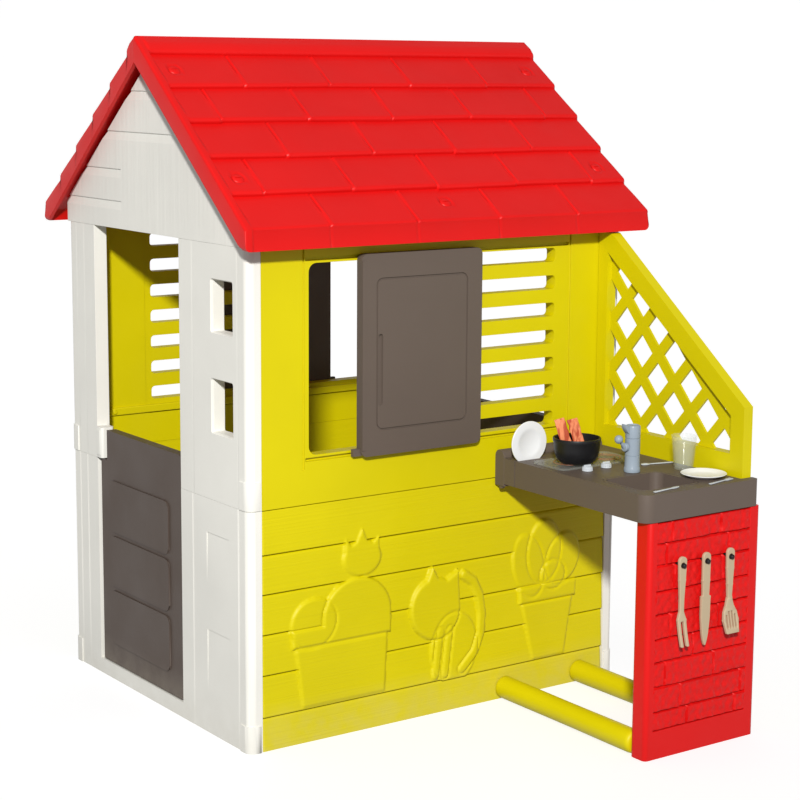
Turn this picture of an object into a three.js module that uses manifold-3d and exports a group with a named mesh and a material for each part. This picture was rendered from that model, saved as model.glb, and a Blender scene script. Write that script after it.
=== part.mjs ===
// Children's plastic playhouse with an outdoor kitchen, in millimetres, +Z up.
//
// The origin is at the middle of the whole object's footprint, on the ground. +X runs along the
// ridge, away from the front half-door, and the kitchen reaches out towards -Y.
//
// The house is two-fold symmetric: the same set of mouldings is used twice, the second set turned
// half a turn about the vertical line through the middle of the house. Both sets are drawn in a
// corner frame, where x is measured from the outer face of the door gable, y from the outer face of
// the window wall (the kitchen has negative y) and z from the ground.

import * as THREE from "three";
import { mergeVertices } from "three/addons/utils/BufferGeometryUtils.js";
import Module from "manifold-3d";

const wasm = await Module();
wasm.setup();

// ---- Driving dimensions ----

const GAP = 0.3; // between two pieces that touch
const HOUSE_LENGTH = 852; // between the outer faces of the two gables
const HOUSE_DEPTH = 702; // between the outer faces of the two window walls
const RIDGE_HEIGHT = 1270;
const EAVE_TOP = 944;
const EAVE_BOTTOM = 906;
const EAVE_OVERHANG = 46;
const GABLE_OVERHANG = 30;
const KITCHEN_REACH = 450; // from the window wall to the tips of the hanging utensils
const SEAM = 443; // height of the joint between lower and upper panels
const WALL_THICKNESS = 30;
const WALL_TOP = 950;
const GABLE_THICKNESS = 41;
const GABLE_CORNER = 27; // width of the gable's own edge, seen beside the window wall
const GABLE_PANEL = 27; // thickness of the gable beside the doorway, over the lower frame
const DOORWAY = { near: 245, far: 589, sill: 30, top: 907 };

const HALF_LENGTH = HOUSE_LENGTH / 2;
const HALF_DEPTH = HOUSE_DEPTH / 2;
const WHOLE_DEPTH = KITCHEN_REACH + HOUSE_DEPTH + EAVE_OVERHANG;
const HOUSE_CENTRE_Y = KITCHEN_REACH + HALF_DEPTH - WHOLE_DEPTH / 2;

// ---- Materials ----

function plastic(red, green, blue, roughness) {
  const colour = new THREE.Color().setRGB(red / 255, green / 255, blue / 255, THREE.SRGBColorSpace);
  return new THREE.MeshStandardMaterial({ color: colour, roughness, metalness: 0 });
}

const RED = plastic(222, 40, 34, 0.42);
const WHITE = plastic(232, 232, 228, 0.45);
const LIME = plastic(222, 208, 0, 0.45);
const TAUPE = plastic(108, 95, 88, 0.5);
const STEEL_GREY = plastic(150, 160, 170, 0.3);
const SILVER = plastic(190, 195, 200, 0.25);
const BLACK = plastic(24, 24, 26, 0.5);
const BEIGE = plastic(205, 185, 155, 0.5);
const CROCKERY = plastic(226, 228, 229, 0.35);
const ORANGE = plastic(196, 84, 36, 0.5);
const CLEAR = plastic(225, 235, 230, 0.08);
CLEAR.transparent = true;
CLEAR.opacity = 0.35;

// ---- Solids ----

// A closed manifold solid from any closed three.js geometry.
function solid(geometry) {
  const bare = geometry.clone();
  bare.deleteAttribute("normal");
  bare.deleteAttribute("uv");
  const merged = mergeVertices(bare, 1e-4);
  const corners = merged.index.array;
  const triangles = [];
  for (let i = 0; i < corners.length; i += 3) {
    const [a, b, c] = [corners[i], corners[i + 1], corners[i + 2]];
    if (a !== b && b !== c && c !== a) triangles.push(a, b, c);
  }
  return new wasm.Manifold(
    new wasm.Mesh({
      numProp: 3,
      vertProperties: new Float32Array(merged.attributes.position.array),
      triVerts: new Uint32Array(triangles),
    }),
  );
}

function geometryOf(body) {
  const mesh = body.getMesh();
  const geometry = new THREE.BufferGeometry();
  geometry.setAttribute("position", new THREE.BufferAttribute(mesh.vertProperties, 3));
  geometry.setIndex(new THREE.BufferAttribute(mesh.triVerts, 1));
  geometry.computeVertexNormals();
  return geometry;
}

// A box between two limits on each axis.
function block([x0, x1], [y0, y1], [z0, z1]) {
  const geometry = new THREE.BoxGeometry(x1 - x0, y1 - y0, z1 - z0);
  geometry.translate((x0 + x1) / 2, (y0 + y1) / 2, (z0 + z1) / 2);
  return solid(geometry);
}

// An upright cylinder, or a cone frustum where the top radius differs.
function post([x, y], [z0, z1], radius, sides = 16, topRadius = radius) {
  const geometry = new THREE.CylinderGeometry(topRadius, radius, z1 - z0, sides);
  geometry.rotateX(Math.PI / 2);
  geometry.translate(x, y, (z0 + z1) / 2);
  return solid(geometry);
}

// A cylinder lying along Y.
function rodAlongY([x, z], [y0, y1], radius, sides = 16) {
  const geometry = new THREE.CylinderGeometry(radius, radius, y1 - y0, sides);
  geometry.translate(x, (y0 + y1) / 2, z);
  return solid(geometry);
}

// A body turned about a vertical axis from a profile of [radius, height] pairs.
function turned([x, y], profile, sides = 20) {
  const points = profile.map(([radius, height]) => new THREE.Vector2(radius, height));
  const geometry = new THREE.LatheGeometry(points, sides);
  geometry.rotateX(Math.PI / 2);
  geometry.translate(x, y, 0);
  return solid(geometry);
}

// Which way an outline's own axes u, v and its extrusion w point.
const X = new THREE.Vector3(1, 0, 0);
const Y = new THREE.Vector3(0, 1, 0);
const Z = new THREE.Vector3(0, 0, 1);
const FACING_FRONT = new THREE.Matrix4().makeBasis(X, Z, Y.clone().negate());
const FACING_GABLE = new THREE.Matrix4().makeBasis(Y, Z, X);

function extruded(shape, depth) {
  return new THREE.ExtrudeGeometry(shape, { depth, bevelEnabled: false, curveSegments: 2, steps: 1 });
}

// A plate from an outline in (x, z), filling y0 to y1.
function wallPlate(shape, [y0, y1]) {
  const geometry = extruded(shape, y1 - y0).applyMatrix4(FACING_FRONT);
  geometry.translate(0, y1, 0);
  return solid(geometry);
}

// A plate from an outline in (y, z), filling x0 to x1.
function gablePlate(shape, [x0, x1]) {
  const geometry = extruded(shape, x1 - x0).applyMatrix4(FACING_GABLE);
  geometry.translate(x0, 0, 0);
  return solid(geometry);
}

// A plate from an outline in (x, y), filling z0 to z1.
function floorPlate(shape, [z0, z1]) {
  const geometry = extruded(shape, z1 - z0);
  geometry.translate(0, 0, z0);
  return solid(geometry);
}

function outline(points) {
  return new THREE.Shape(points.map(([u, v]) => new THREE.Vector2(u, v)));
}

function roundedRectangle([u0, u1], [v0, v1], radius) {
  const shape = new THREE.Shape();
  const quarter = Math.PI / 2;
  shape.moveTo(u0 + radius, v0);
  shape.absarc(u1 - radius, v0 + radius, radius, -quarter, 0);
  shape.absarc(u1 - radius, v1 - radius, radius, 0, quarter);
  shape.absarc(u0 + radius, v1 - radius, radius, quarter, 2 * quarter);
  shape.absarc(u0 + radius, v0 + radius, radius, 2 * quarter, 3 * quarter);
  return shape;
}

function rectangle([u0, u1], [v0, v1]) {
  return outline([[u0, v0], [u1, v0], [u1, v1], [u0, v1]]);
}

function joined(bodies) {
  return bodies.reduce((whole, body) => whole.add(body));
}

function cut(body, tools) {
  return tools.reduce((rest, tool) => rest.subtract(tool), body);
}

// Adds a body to a group as a named piece. With a pivot, the mesh's own origin is at the pivot.
function addPiece(group, name, body, material, pivot = [0, 0, 0]) {
  const geometry = geometryOf(body);
  geometry.translate(-pivot[0], -pivot[1], -pivot[2]);
  const mesh = new THREE.Mesh(geometry, material);
  mesh.name = name;
  mesh.position.set(...pivot);
  group.add(mesh);
}

// ---- Roof ----

const ROOF_RUN = HALF_DEPTH + EAVE_OVERHANG;
const ROOF_PITCH = Math.atan2(RIDGE_HEIGHT - EAVE_TOP, ROOF_RUN);
const SLOPE_LENGTH = Math.hypot(RIDGE_HEIGHT - EAVE_TOP, ROOF_RUN);
const RIDGE_CAP = 43; // width of the plain strip along the ridge, down the slope
const TILE_PITCH = 95;
const TILE_STEP = 9; // how far each tile row's lower edge stands over the next row
const ROOF_SKIN = 20; // from the tiles' plane to the underside
const BARGE_DEPTH = 37; // depth of the edge flange along each gable
const FLANGE = 8; // thickness of the edge flanges

// The point a distance down the slope and a height over the tiles' plane, as [y, z].
function onSlope(down, over = 0) {
  return [
    HALF_DEPTH - down * Math.cos(ROOF_PITCH) - over * Math.sin(ROOF_PITCH),
    RIDGE_HEIGHT - down * Math.sin(ROOF_PITCH) + over * Math.cos(ROOF_PITCH),
  ];
}

// Height of the underside at y, where the roof is so deep.
function undersideAt(y, depth) {
  return RIDGE_HEIGHT - (HALF_DEPTH - y) * Math.tan(ROOF_PITCH) - depth / Math.cos(ROOF_PITCH);
}

// Section of one roof slope, stepped on top where each row of tiles laps the next.
function roofSection(depth) {
  const ridge = HALF_DEPTH - GAP / 2;
  const points = [[ridge, RIDGE_HEIGHT]];
  for (let down = RIDGE_CAP; down < SLOPE_LENGTH - TILE_STEP; down += TILE_PITCH) {
    points.push(onSlope(down), onSlope(down, -TILE_STEP));
  }
  points.push([-EAVE_OVERHANG, EAVE_TOP], [-EAVE_OVERHANG, EAVE_BOTTOM]);
  const innerFascia = -EAVE_OVERHANG + FLANGE;
  if (undersideAt(innerFascia, depth) > EAVE_BOTTOM) {
    points.push([innerFascia, EAVE_BOTTOM], [innerFascia, undersideAt(innerFascia, depth)]);
  } else {
    const meets = innerFascia + (EAVE_BOTTOM - undersideAt(innerFascia, depth)) / Math.tan(ROOF_PITCH);
    points.push([meets, EAVE_BOTTOM]);
  }
  points.push([ridge, undersideAt(ridge, depth)]);
  return outline(points);
}

// Roof screws of one slope: x, and the distance down from the ridge.
const SCREW_PLACES = [[18, 90], [18, 382], [421, 461], [834, 90], [834, 382]];
const SCREW_HEAD = { radius: 12, height: 5 };
const SCREW_SHANK = { radius: 3, length: 46 };
const SCREW_BORE = 3.7;
const SCREW_SIDES = 10;

// A cylinder square to the slope, over the tiles' plane from one height to another.
function slopeRod([x, down], [from, to], radius, back) {
  const geometry = new THREE.CylinderGeometry(radius, radius, to - from, SCREW_SIDES);
  geometry.translate(0, (from + to) / 2, 0);
  geometry.rotateX(Math.PI / 2 + ROOF_PITCH);
  const [y, z] = onSlope(down);
  geometry.translate(x, y, z);
  if (back) {
    geometry.translate(-HALF_LENGTH, -HALF_DEPTH, 0);
    geometry.rotateZ(Math.PI);
    geometry.translate(HALF_LENGTH, HALF_DEPTH, 0);
  }
  return solid(geometry);
}

// How deep the tiles' own surface lies under the tiles' plane, at a distance down the slope.
function tileSink(down) {
  const fromEdge = (down - RIDGE_CAP) % TILE_PITCH;
  return TILE_STEP * (1 - fromEdge / TILE_PITCH);
}

// The clearance bores of every roof screw, on both slopes.
function screwBores() {
  const bores = [];
  for (const place of SCREW_PLACES) {
    for (const back of [false, true]) {
      bores.push(slopeRod(place, [-2 * SCREW_SHANK.length, TILE_STEP], SCREW_BORE, back));
    }
  }
  return bores;
}

function roofPanel() {
  const [left, right] = [-GABLE_OVERHANG, HOUSE_LENGTH + GABLE_OVERHANG];
  const panel = joined([
    gablePlate(roofSection(ROOF_SKIN), [left, right]),
    gablePlate(roofSection(BARGE_DEPTH), [left, left + FLANGE]),
    gablePlate(roofSection(BARGE_DEPTH), [right - FLANGE, right]),
  ]);
  return cut(panel, screwBores());
}

function roofScrew(place) {
  const seat = GAP - tileSink(place[1]) + TILE_STEP * SCREW_HEAD.radius / TILE_PITCH;
  const head = slopeRod(place, [seat, seat + SCREW_HEAD.height], SCREW_HEAD.radius, false);
  const shank = slopeRod(place, [seat - SCREW_SHANK.length, seat + 1], SCREW_SHANK.radius, false);
  return head.add(shank);
}

// ---- Gables ----

// The corners of a gable step back behind the ends of the window walls.
function cornerSteps() {
  const depth = [GABLE_CORNER, GABLE_THICKNESS + 1];
  const height = [-1, RIDGE_HEIGHT];
  return [
    block(depth, [-10, WALL_THICKNESS + GAP], height),
    block(depth, [HOUSE_DEPTH - WALL_THICKNESS - GAP, HOUSE_DEPTH + 10], height),
  ];
}

const DOOR = { face: 2, thickness: 20, near: 248, foot: 33, top: 504, corner: 8 };
const DOOR_PIVOT = [DOOR.face + DOOR.thickness / 2, 575];
const HINGE_NOTCH = { near: 552, foot: 444 };
const PIN = { radius: 4, bore: 4.7, length: 12 };

function gableLowerFrame() {
  const { near, far, sill } = DOORWAY;
  const shape = outline([
    [0, 0], [HOUSE_DEPTH, 0], [HOUSE_DEPTH, SEAM], [far, SEAM],
    [far, sill], [near, sill], [near, SEAM], [0, SEAM],
  ]);
  const pinHole = post(DOOR_PIVOT, [sill - PIN.length - 3, sill + 1], PIN.bore);
  return cut(gablePlate(shape, [0, GABLE_THICKNESS]), [...cornerSteps(), pinHole]);
}

const PEEPHOLES = { across: [53, 127], heights: [[568, 664], [750, 843]], corner: 3 };

function gableUpperPanel() {
  const shape = rectangle([0, DOORWAY.near], [SEAM + GAP, DOORWAY.top]);
  for (const height of PEEPHOLES.heights) {
    shape.holes.push(roundedRectangle(PEEPHOLES.across, height, PEEPHOLES.corner));
  }
  return gablePlate(shape, [0, GABLE_PANEL]);
}

function gableUpperJamb() {
  return gablePlate(rectangle([DOORWAY.far, HOUSE_DEPTH], [SEAM + GAP, DOORWAY.top]), [0, GABLE_PANEL]);
}

const BAND_PROUD = 3; // how far the gable's top stands past the window walls
const BARGE_CLEARANCE = 1;
const APEX_DROP = 18; // from the roof's underside to the gable's top, at the ridge

function gableTop() {
  const edge = -BAND_PROUD;
  const shoulder = undersideAt(edge, ROOF_SKIN) - BARGE_CLEARANCE;
  const apex = undersideAt(HALF_DEPTH, ROOF_SKIN) - APEX_DROP;
  const foot = DOORWAY.top + GAP;
  const shape = outline([
    [edge, foot], [HOUSE_DEPTH - edge, foot], [HOUSE_DEPTH - edge, shoulder],
    [HALF_DEPTH, apex], [edge, shoulder],
  ]);
  return cut(gablePlate(shape, [0, GABLE_THICKNESS]), [...cornerSteps(), ...screwBores()]);
}

// ---- Half door ----

function halfDoor() {
  const inside = DOOR.face + DOOR.thickness;
  const across = [DOOR.near, DOOR_PIVOT[1] + 2 * DOOR.corner];
  const leaf = gablePlate(roundedRectangle(across, [DOOR.foot, DOOR.top], DOOR.corner), [DOOR.face, inside]);
  const pastBarrel = block([0, 60], [DOOR_PIVOT[1], 600], [0, 600]);
  const notch = block([0, 60], [HINGE_NOTCH.near, 600], [HINGE_NOTCH.foot, 600]);
  const barrel = post(DOOR_PIVOT, [DOOR.foot, HINGE_NOTCH.foot], DOOR.thickness / 2);
  const bore = post(DOOR_PIVOT, [HINGE_NOTCH.foot - PIN.length - 3, HINGE_NOTCH.foot + 1], PIN.bore);
  const footPin = post(DOOR_PIVOT, [DOORWAY.sill - PIN.length, DOOR.foot + 1], PIN.radius);
  return cut(leaf, [pastBarrel, notch]).add(barrel).subtract(bore).add(footPin);
}

function doorHingeBracket() {
  const foot = HINGE_NOTCH.foot + 2;
  const cap = floorPlate(roundedRectangle([-4, 24], [563, DOORWAY.far - GAP], 5), [foot, 507]);
  return cap.add(post(DOOR_PIVOT, [foot - PIN.length, foot + 1], PIN.radius));
}

// ---- Window walls ----

const WALL_SPAN = [GABLE_CORNER + GAP, HOUSE_LENGTH - GABLE_CORNER - GAP];
const BOARD_LINES = [63, 141, 216, 290, 362]; // lower edges of the lapped boards
const BOARD_LAP = 4;
const WINDOW = { across: [125, 393], height: [532, 876], corner: 14 };
const SLATS = { across: [430, 685], top: 877, pitch: 52.8, gap: 26.5, count: 7, corner: 6 };
const TRACK = { across: [118, 718], depth: 7, heights: [[521, 527.6], [880, 886.6]] };
const SHUTTER = { across: [226, 495], height: [520, 888], back: -1.5, face: -18, corner: 10 };
const RIB_CLEARANCE = 1; // between a shutter's rib and its track, on every side
const SHUTTER_TAB = { across: [212, 228], depth: [-12, -4], height: [522, 535] };

function lowerWall() {
  const points = [[0, 0]];
  for (const height of BOARD_LINES) points.push([BOARD_LAP, height], [0, height]);
  points.push([BOARD_LAP, SEAM], [WALL_THICKNESS, SEAM], [WALL_THICKNESS, 0]);
  return gablePlate(outline(points), WALL_SPAN);
}

function upperWall() {
  const shape = rectangle(WALL_SPAN, [SEAM + GAP, WALL_TOP]);
  shape.holes.push(roundedRectangle(WINDOW.across, WINDOW.height, WINDOW.corner));
  for (let i = 0; i < SLATS.count; i += 1) {
    const top = SLATS.top - i * SLATS.pitch;
    shape.holes.push(roundedRectangle(SLATS.across, [top - SLATS.gap, top], SLATS.corner));
  }
  const tracks = TRACK.heights.map((height) => block(TRACK.across, [-1, TRACK.depth], height));
  return cut(wallPlate(shape, [0, WALL_THICKNESS]), [...tracks, ...screwBores()]);
}

// A leaf in front of the wall, with two ribs on its back that run in the wall's tracks.
function shutter() {
  const [left, right] = SHUTTER.across;
  const leaf = wallPlate(roundedRectangle(SHUTTER.across, SHUTTER.height, SHUTTER.corner),
    [SHUTTER.face, SHUTTER.back]);
  const ribs = TRACK.heights.map(([foot, head]) => block([left + 12, right - 12],
    [SHUTTER.back - 1, TRACK.depth - RIB_CLEARANCE], [foot + RIB_CLEARANCE, head - RIB_CLEARANCE]));
  const { across, depth, height } = SHUTTER_TAB;
  return joined([leaf, ...ribs, block(across, depth, height)]);
}

// ---- Kitchen ----

const COUNTER = { left: 545, right: 790, lipRight: 818, front: -428, foot: 435, top: 485, corner: 22 };
const BACK_BLOCK = { depth: 28, foot: 430, top: 500 };
const SINK = { across: [572, 705], along: [-392, -280], floor: 452, corner: 16 };
const PLATE_SLOT = { across: [546, 622], along: [-64, -56], floor: 474 };
const HOB = { across: [558, 742], along: [-186, -92], thickness: 4, corner: 12 };
const BRICK = { across: [559, 828], depth: [-426, -386], top: 434, edge: 8 };
const BRICK_FIELD = { across: [577, 803], height: [52, 426], recess: 4 };
const LEGS = { radius: 22, across: [575, 762], end: -385.5 };
const TRELLIS = { inner: 793, outer: 815, foot: 434.5, outerEdge: -411, wallEdge: -2, shoulder: 603 };

function counter() {
  const { left, right, lipRight, front, corner } = COUNTER;
  const behind = -BACK_BLOCK.depth - GAP;
  const lip = TRELLIS.outerEdge - GAP;
  const shape = new THREE.Shape();
  shape.moveTo(left, behind);
  shape.lineTo(left, front + corner);
  shape.absarc(left + corner, front + corner, corner, Math.PI, 1.5 * Math.PI);
  shape.lineTo(lipRight, front);
  shape.lineTo(lipRight, lip);
  shape.lineTo(right, lip);
  shape.lineTo(right, behind);
  const top = COUNTER.top + 1;
  return cut(floorPlate(shape, [COUNTER.foot, COUNTER.top]), [
    floorPlate(roundedRectangle(SINK.across, SINK.along, SINK.corner), [SINK.floor, top]),
    block(PLATE_SLOT.across, PLATE_SLOT.along, [PLATE_SLOT.floor, top]),
    post(TAP.place, [COUNTER.top - TAP.stub, top], TAP.bore),
    ...KNOBS.map((knob) => post(knob.place, [COUNTER.top - KNOB.stub - 2, top], KNOB.bore)),
  ]);
}

function counterBackBlock() {
  const { depth, foot, top } = BACK_BLOCK;
  const shape = new THREE.Shape();
  const half = depth / 2;
  shape.moveTo(-GAP, foot);
  shape.lineTo(-GAP, top - half);
  shape.absarc(-half, top - half, half - GAP, 0, Math.PI);
  shape.lineTo(-depth, foot);
  return gablePlate(shape, [COUNTER.left, COUNTER.right]);
}

function hobPlate() {
  const foot = COUNTER.top + GAP;
  return floorPlate(roundedRectangle(HOB.across, HOB.along, HOB.corner), [foot, foot + HOB.thickness]);
}

const KNOB = { radius: 10, height: 11, stub: 8, stubRadius: 3, bore: 3.8 };
const KNOBS = [
  { name: "hob_knob_left", place: [602, -204] },
  { name: "hob_knob_right", place: [651, -200] },
];

// A short stub turns in the counter, under a cap with a raised finger bar.
function hobKnob([x, y]) {
  const foot = COUNTER.top + 2 * GAP;
  const top = foot + KNOB.height;
  const cap = post([x, y], [foot, top - 3], KNOB.radius, 20, KNOB.radius - 1.5);
  const bar = block([x - KNOB.radius + 2, x + KNOB.radius - 2], [y - 2, y + 2], [top - 4, top]);
  const stub = post([x, y], [COUNTER.top - KNOB.stub, foot + 1], KNOB.stubRadius);
  return joined([cap, bar, stub]);
}

const TAP = { place: [665, -256], radius: 14, height: 88, stub: 14, stubRadius: 7, bore: 8 };
const TAP_LEVER = {
  height: 48, length: 22, lean: 0.75, radius: 4, ballRadius: 8, pinRadius: 5, pinBore: 5.8,
};

// The tap's post, with a short beak at its top that pours towards the outer edge of the counter.
function tapPost() {
  const [x, y] = TAP.place;
  const foot = COUNTER.top + 2 * GAP;
  const top = foot + TAP.height;
  const body = turned([x, y], [
    [0, foot], [TAP.radius + 1, foot], [TAP.radius + 1, foot + 8], [TAP.radius, foot + 10],
    [TAP.radius, foot + 62], [TAP.radius - 1, foot + 63], [TAP.radius, foot + 64],
    [TAP.radius, top - 3], [TAP.radius - 3, top], [0, top],
  ]);
  const beak = wallPlate(outline([
    [x - TAP.radius + 3, top - 18], [x - TAP.radius + 3, top - 1], [x - TAP.radius - 8, top + 3],
    [x - TAP.radius - 5, top - 8],
  ]), [y - 6, y + 6]);
  const stub = post(TAP.place, [COUNTER.top - TAP.stub + 2, foot + 1], TAP.stubRadius);
  const socket = leverAxis([-TAP.radius - 2, -TAP.radius + 10], TAP_LEVER.pinBore);
  return joined([body, beak, stub]).subtract(socket);
}

// A cylinder along the lever's pin, which runs along X through the side of the post.
function leverAxis([from, to], radius) {
  const geometry = new THREE.CylinderGeometry(radius, radius, to - from, 16);
  geometry.rotateZ(Math.PI / 2);
  geometry.translate(TAP.place[0] + (from + to) / 2, TAP.place[1], COUNTER.top + TAP_LEVER.height);
  return solid(geometry);
}

// A pin in the post's side, a hub, and an arm that rises to a ball grip.
function tapLever() {
  const hub = leverAxis([-TAP.radius - 8, -TAP.radius - 1], TAP_LEVER.pinRadius + 3);
  const pin = leverAxis([-TAP.radius - 4, -TAP.radius + 8], TAP_LEVER.pinRadius);
  const [x, y] = [TAP.place[0] - TAP.radius - 5, TAP.place[1]];
  const pivotHeight = COUNTER.top + TAP_LEVER.height;
  const { radius, length, ballRadius, lean } = TAP_LEVER;
  const arm = new THREE.CylinderGeometry(radius - 1, radius, length, 10);
  const ball = new THREE.SphereGeometry(ballRadius, 12, 8);
  arm.translate(0, length / 2, 0);
  ball.translate(0, length, 0);
  for (const geometry of [arm, ball]) {
    geometry.rotateX(Math.PI / 2);
    geometry.rotateY(-lean);
    geometry.translate(x, y, pivotHeight);
  }
  return joined([hub, pin, solid(arm), solid(ball)]);
}

function brickPanel() {
  const plan = roundedRectangle(BRICK.across, BRICK.depth, BRICK.edge);
  const [front] = BRICK.depth;
  const field = block(BRICK_FIELD.across, [front - 1, front + BRICK_FIELD.recess], BRICK_FIELD.height);
  return cut(floorPlate(plan, [0, BRICK.top]), [
    field,
    ...UTENSILS.map(({ x }) => rodAlongY([x, PEG.height], [front - 1, front + PEG.socket], PEG.bore)),
  ]);
}

// A floor tube from the foot of the wall to the back of the brick panel.
function floorTube(x) {
  return rodAlongY([x, LEGS.radius], [LEGS.end, -GAP], LEGS.radius, 16);
}

const LATTICE = { inner: 804, outer: 809, centre: [-74, 730], step: [-46, -49], half: [30.5, 33.5] };
const TRELLIS_BAND = { wall: 26, foot: 91, outer: 34, top: 36 };

// Diamond openings on a slanted grid, cut from a thin plate inside a heavier frame.
function trellis() {
  const { inner, outer, foot, outerEdge, wallEdge, shoulder } = TRELLIS;
  const crown = EAVE_BOTTOM - 3;
  const crownEdge = -38;
  const frameShape = () => outline([
    [wallEdge, foot], [wallEdge, crown], [crownEdge, crown],
    [outerEdge, shoulder + 12], [outerEdge, foot],
  ]);
  const slope = (crown - shoulder - 12) / (crownEdge - outerEdge);
  const dropAt = (y) => crown + (y - crownEdge) * slope - TRELLIS_BAND.top * Math.hypot(1, slope);
  const innerWall = wallEdge - TRELLIS_BAND.wall;
  const innerOuter = outerEdge + TRELLIS_BAND.outer;
  const innerFoot = foot + TRELLIS_BAND.foot;
  const window = () => [
    [innerWall, innerFoot], [innerWall, dropAt(innerWall)],
    [innerOuter, dropAt(innerOuter)], [innerOuter, innerFoot],
  ];
  const frame = gablePlate(frameShape(), [inner, outer])
    .subtract(gablePlate(outline(window()), [inner - 1, outer + 1]));
  const [y0, z0] = LATTICE.centre;
  const [halfY, halfZ] = LATTICE.half;
  const diamonds = [];
  for (let i = -1; i < 9; i += 1) {
    for (let j = -5; j < 4; j += 1) {
      const y = y0 + i * LATTICE.step[0];
      const z = z0 + i * LATTICE.step[1] - j * 2 * LATTICE.step[1];
      const inside = y <= innerWall && y > innerOuter && z > innerFoot - halfZ && z < dropAt(y) + halfZ;
      if (!inside) continue;
      const diamond = outline([[y - halfY, z], [y, z - halfZ], [y + halfY, z], [y, z + halfZ]]);
      diamonds.push(gablePlate(diamond, [LATTICE.inner - 1, LATTICE.outer + 1]));
    }
  }
  const within = gablePlate(outline(window()), [LATTICE.inner, LATTICE.outer]);
  return frame.add(cut(within, diamonds));
}

// ---- Utensils on their pegs ----

const PEG = { height: 352, radius: 3.5, bore: 4.2, socket: 14, tip: -443, head: -444, headRadius: 5.2 };
const UTENSIL = { back: -432, face: -438, top: 368, crown: 10, eye: 5.8, bendHeight: 62, bendReach: 12 };
const UTENSILS = [
  { name: "fork", x: 629, foot: 206, bent: true },
  { name: "knife", x: 687, foot: 197, bent: false },
  { name: "spatula", x: 746, foot: 212, bent: true },
];

function peg(x) {
  const [front] = BRICK.depth;
  const shank = rodAlongY([x, PEG.height], [PEG.tip, front + PEG.socket - 1], PEG.radius);
  const collar = rodAlongY([x, PEG.height], [UTENSIL.back + GAP, front + BRICK_FIELD.recess - GAP],
    PEG.headRadius + 1);
  const head = rodAlongY([x, PEG.height], [PEG.head, UTENSIL.face - GAP], PEG.headRadius);
  return joined([shank, collar, head]);
}

// Half-widths of each utensil at heights over its foot, from the foot up to the eye.
const HALF_WIDTHS = {
  fork: [[0, 10], [48, 10.5], [62, 5.5], [86, 6], [120, 8.5], [152, UTENSIL.crown]],
  knife: [[0, 1.5], [22, 7], [50, 10.5], [90, 11], [92, 7.5], [120, 8.5], [161, UTENSIL.crown]],
  spatula: [[0, 15], [24, 18.5], [48, 10], [66, 5.2], [90, 6.5], [120, 8.5], [146, UTENSIL.crown]],
};

// Slots through each working end: offset from the middle, half-width, and heights over the foot.
const SLOTS = {
  fork: [[0, 3.5, -1, 44]],
  knife: [],
  spatula: [[-9.6, 1.3, 8, 34], [-3.2, 1.3, 8, 42], [3.2, 1.3, 8, 42], [9.6, 1.3, 8, 34]],
};

// A flat outline given its thickness by a side view, in which the working end may bend outwards.
function utensil({ name, x, foot, bent }) {
  const { back, face, top, crown, bendHeight, bendReach } = UTENSIL;
  const widths = HALF_WIDTHS[name];
  const front = new THREE.Shape();
  front.moveTo(x + widths[0][1], foot);
  for (const [height, half] of widths.slice(1, -1)) front.lineTo(x + half, foot + height);
  front.absarc(x, top - crown, crown, 0, Math.PI);
  for (const [height, half] of widths.slice(0, -1).reverse()) front.lineTo(x - half, foot + height);
  const reach = bent ? bendReach : 0;
  const side = outline([
    [back, top], [back, foot + bendHeight], [back - reach, foot],
    [face - reach, foot], [face, foot + bendHeight], [face, top],
  ]);
  const depth = [face - reach - 1, back + 1];
  const eye = rodAlongY([x, PEG.height], depth, UTENSIL.eye);
  const slots = SLOTS[name].map(([offset, half, low, high]) => block(
    [x + offset - half, x + offset + half], depth, [foot + low, foot + high]));
  const body = wallPlate(front, depth).intersect(gablePlate(side, [x - 40, x + 40]));
  return cut(body, [eye, ...slots]);
}

// ---- Crockery on the counter ----

const ON_COUNTER = COUNTER.top + GAP;
const POT = { place: [621, -150], floor: 4 };

function pot() {
  const foot = ON_COUNTER + HOB.thickness + GAP;
  return turned(POT.place, [
    [0, foot], [29, foot], [36, foot + 5], [43, foot + 28], [45, foot + 48], [42, foot + 48],
    [40, foot + 28], [33, foot + 8], [27, foot + POT.floor], [0, foot + POT.floor],
  ], 24);
}

// Long strips of food stand side by side in the pot, leaning the same way.
const FOOD = { width: 20, thickness: 4, length: 74, turn: -0.62, lean: -0.3, offsets: [-12, 12] };

function foodStrip(offset) {
  const foot = ON_COUNTER + HOB.thickness + POT.floor + 8;
  const geometry = new THREE.BoxGeometry(FOOD.width, FOOD.thickness, FOOD.length);
  geometry.translate(0, 0, FOOD.length / 2);
  geometry.rotateY(FOOD.lean);
  geometry.translate(offset, 0, 0);
  geometry.rotateZ(FOOD.turn);
  geometry.translate(POT.place[0], POT.place[1], foot);
  return solid(geometry);
}

function tumbler() {
  const foot = ON_COUNTER;
  return turned([760, -292], [
    [0, foot], [18, foot], [24, foot + 64], [22.4, foot + 64], [16.5, foot + 3], [0, foot + 3],
  ], 24);
}

function flatPlate() {
  const foot = ON_COUNTER;
  return turned([746, -360], [
    [0, foot], [29, foot], [42, foot + 6], [40.5, foot + 7.5], [28, foot + 2.5], [0, foot + 2.5],
  ], 28);
}

// A round plate standing on edge in the counter's slot.
function standingPlate() {
  const radius = 41.5;
  const geometry = new THREE.CylinderGeometry(radius, radius, 3.6, 28);
  geometry.translate(579, -60, PLATE_SLOT.floor + radius + 1);
  return solid(geometry);
}

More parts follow.
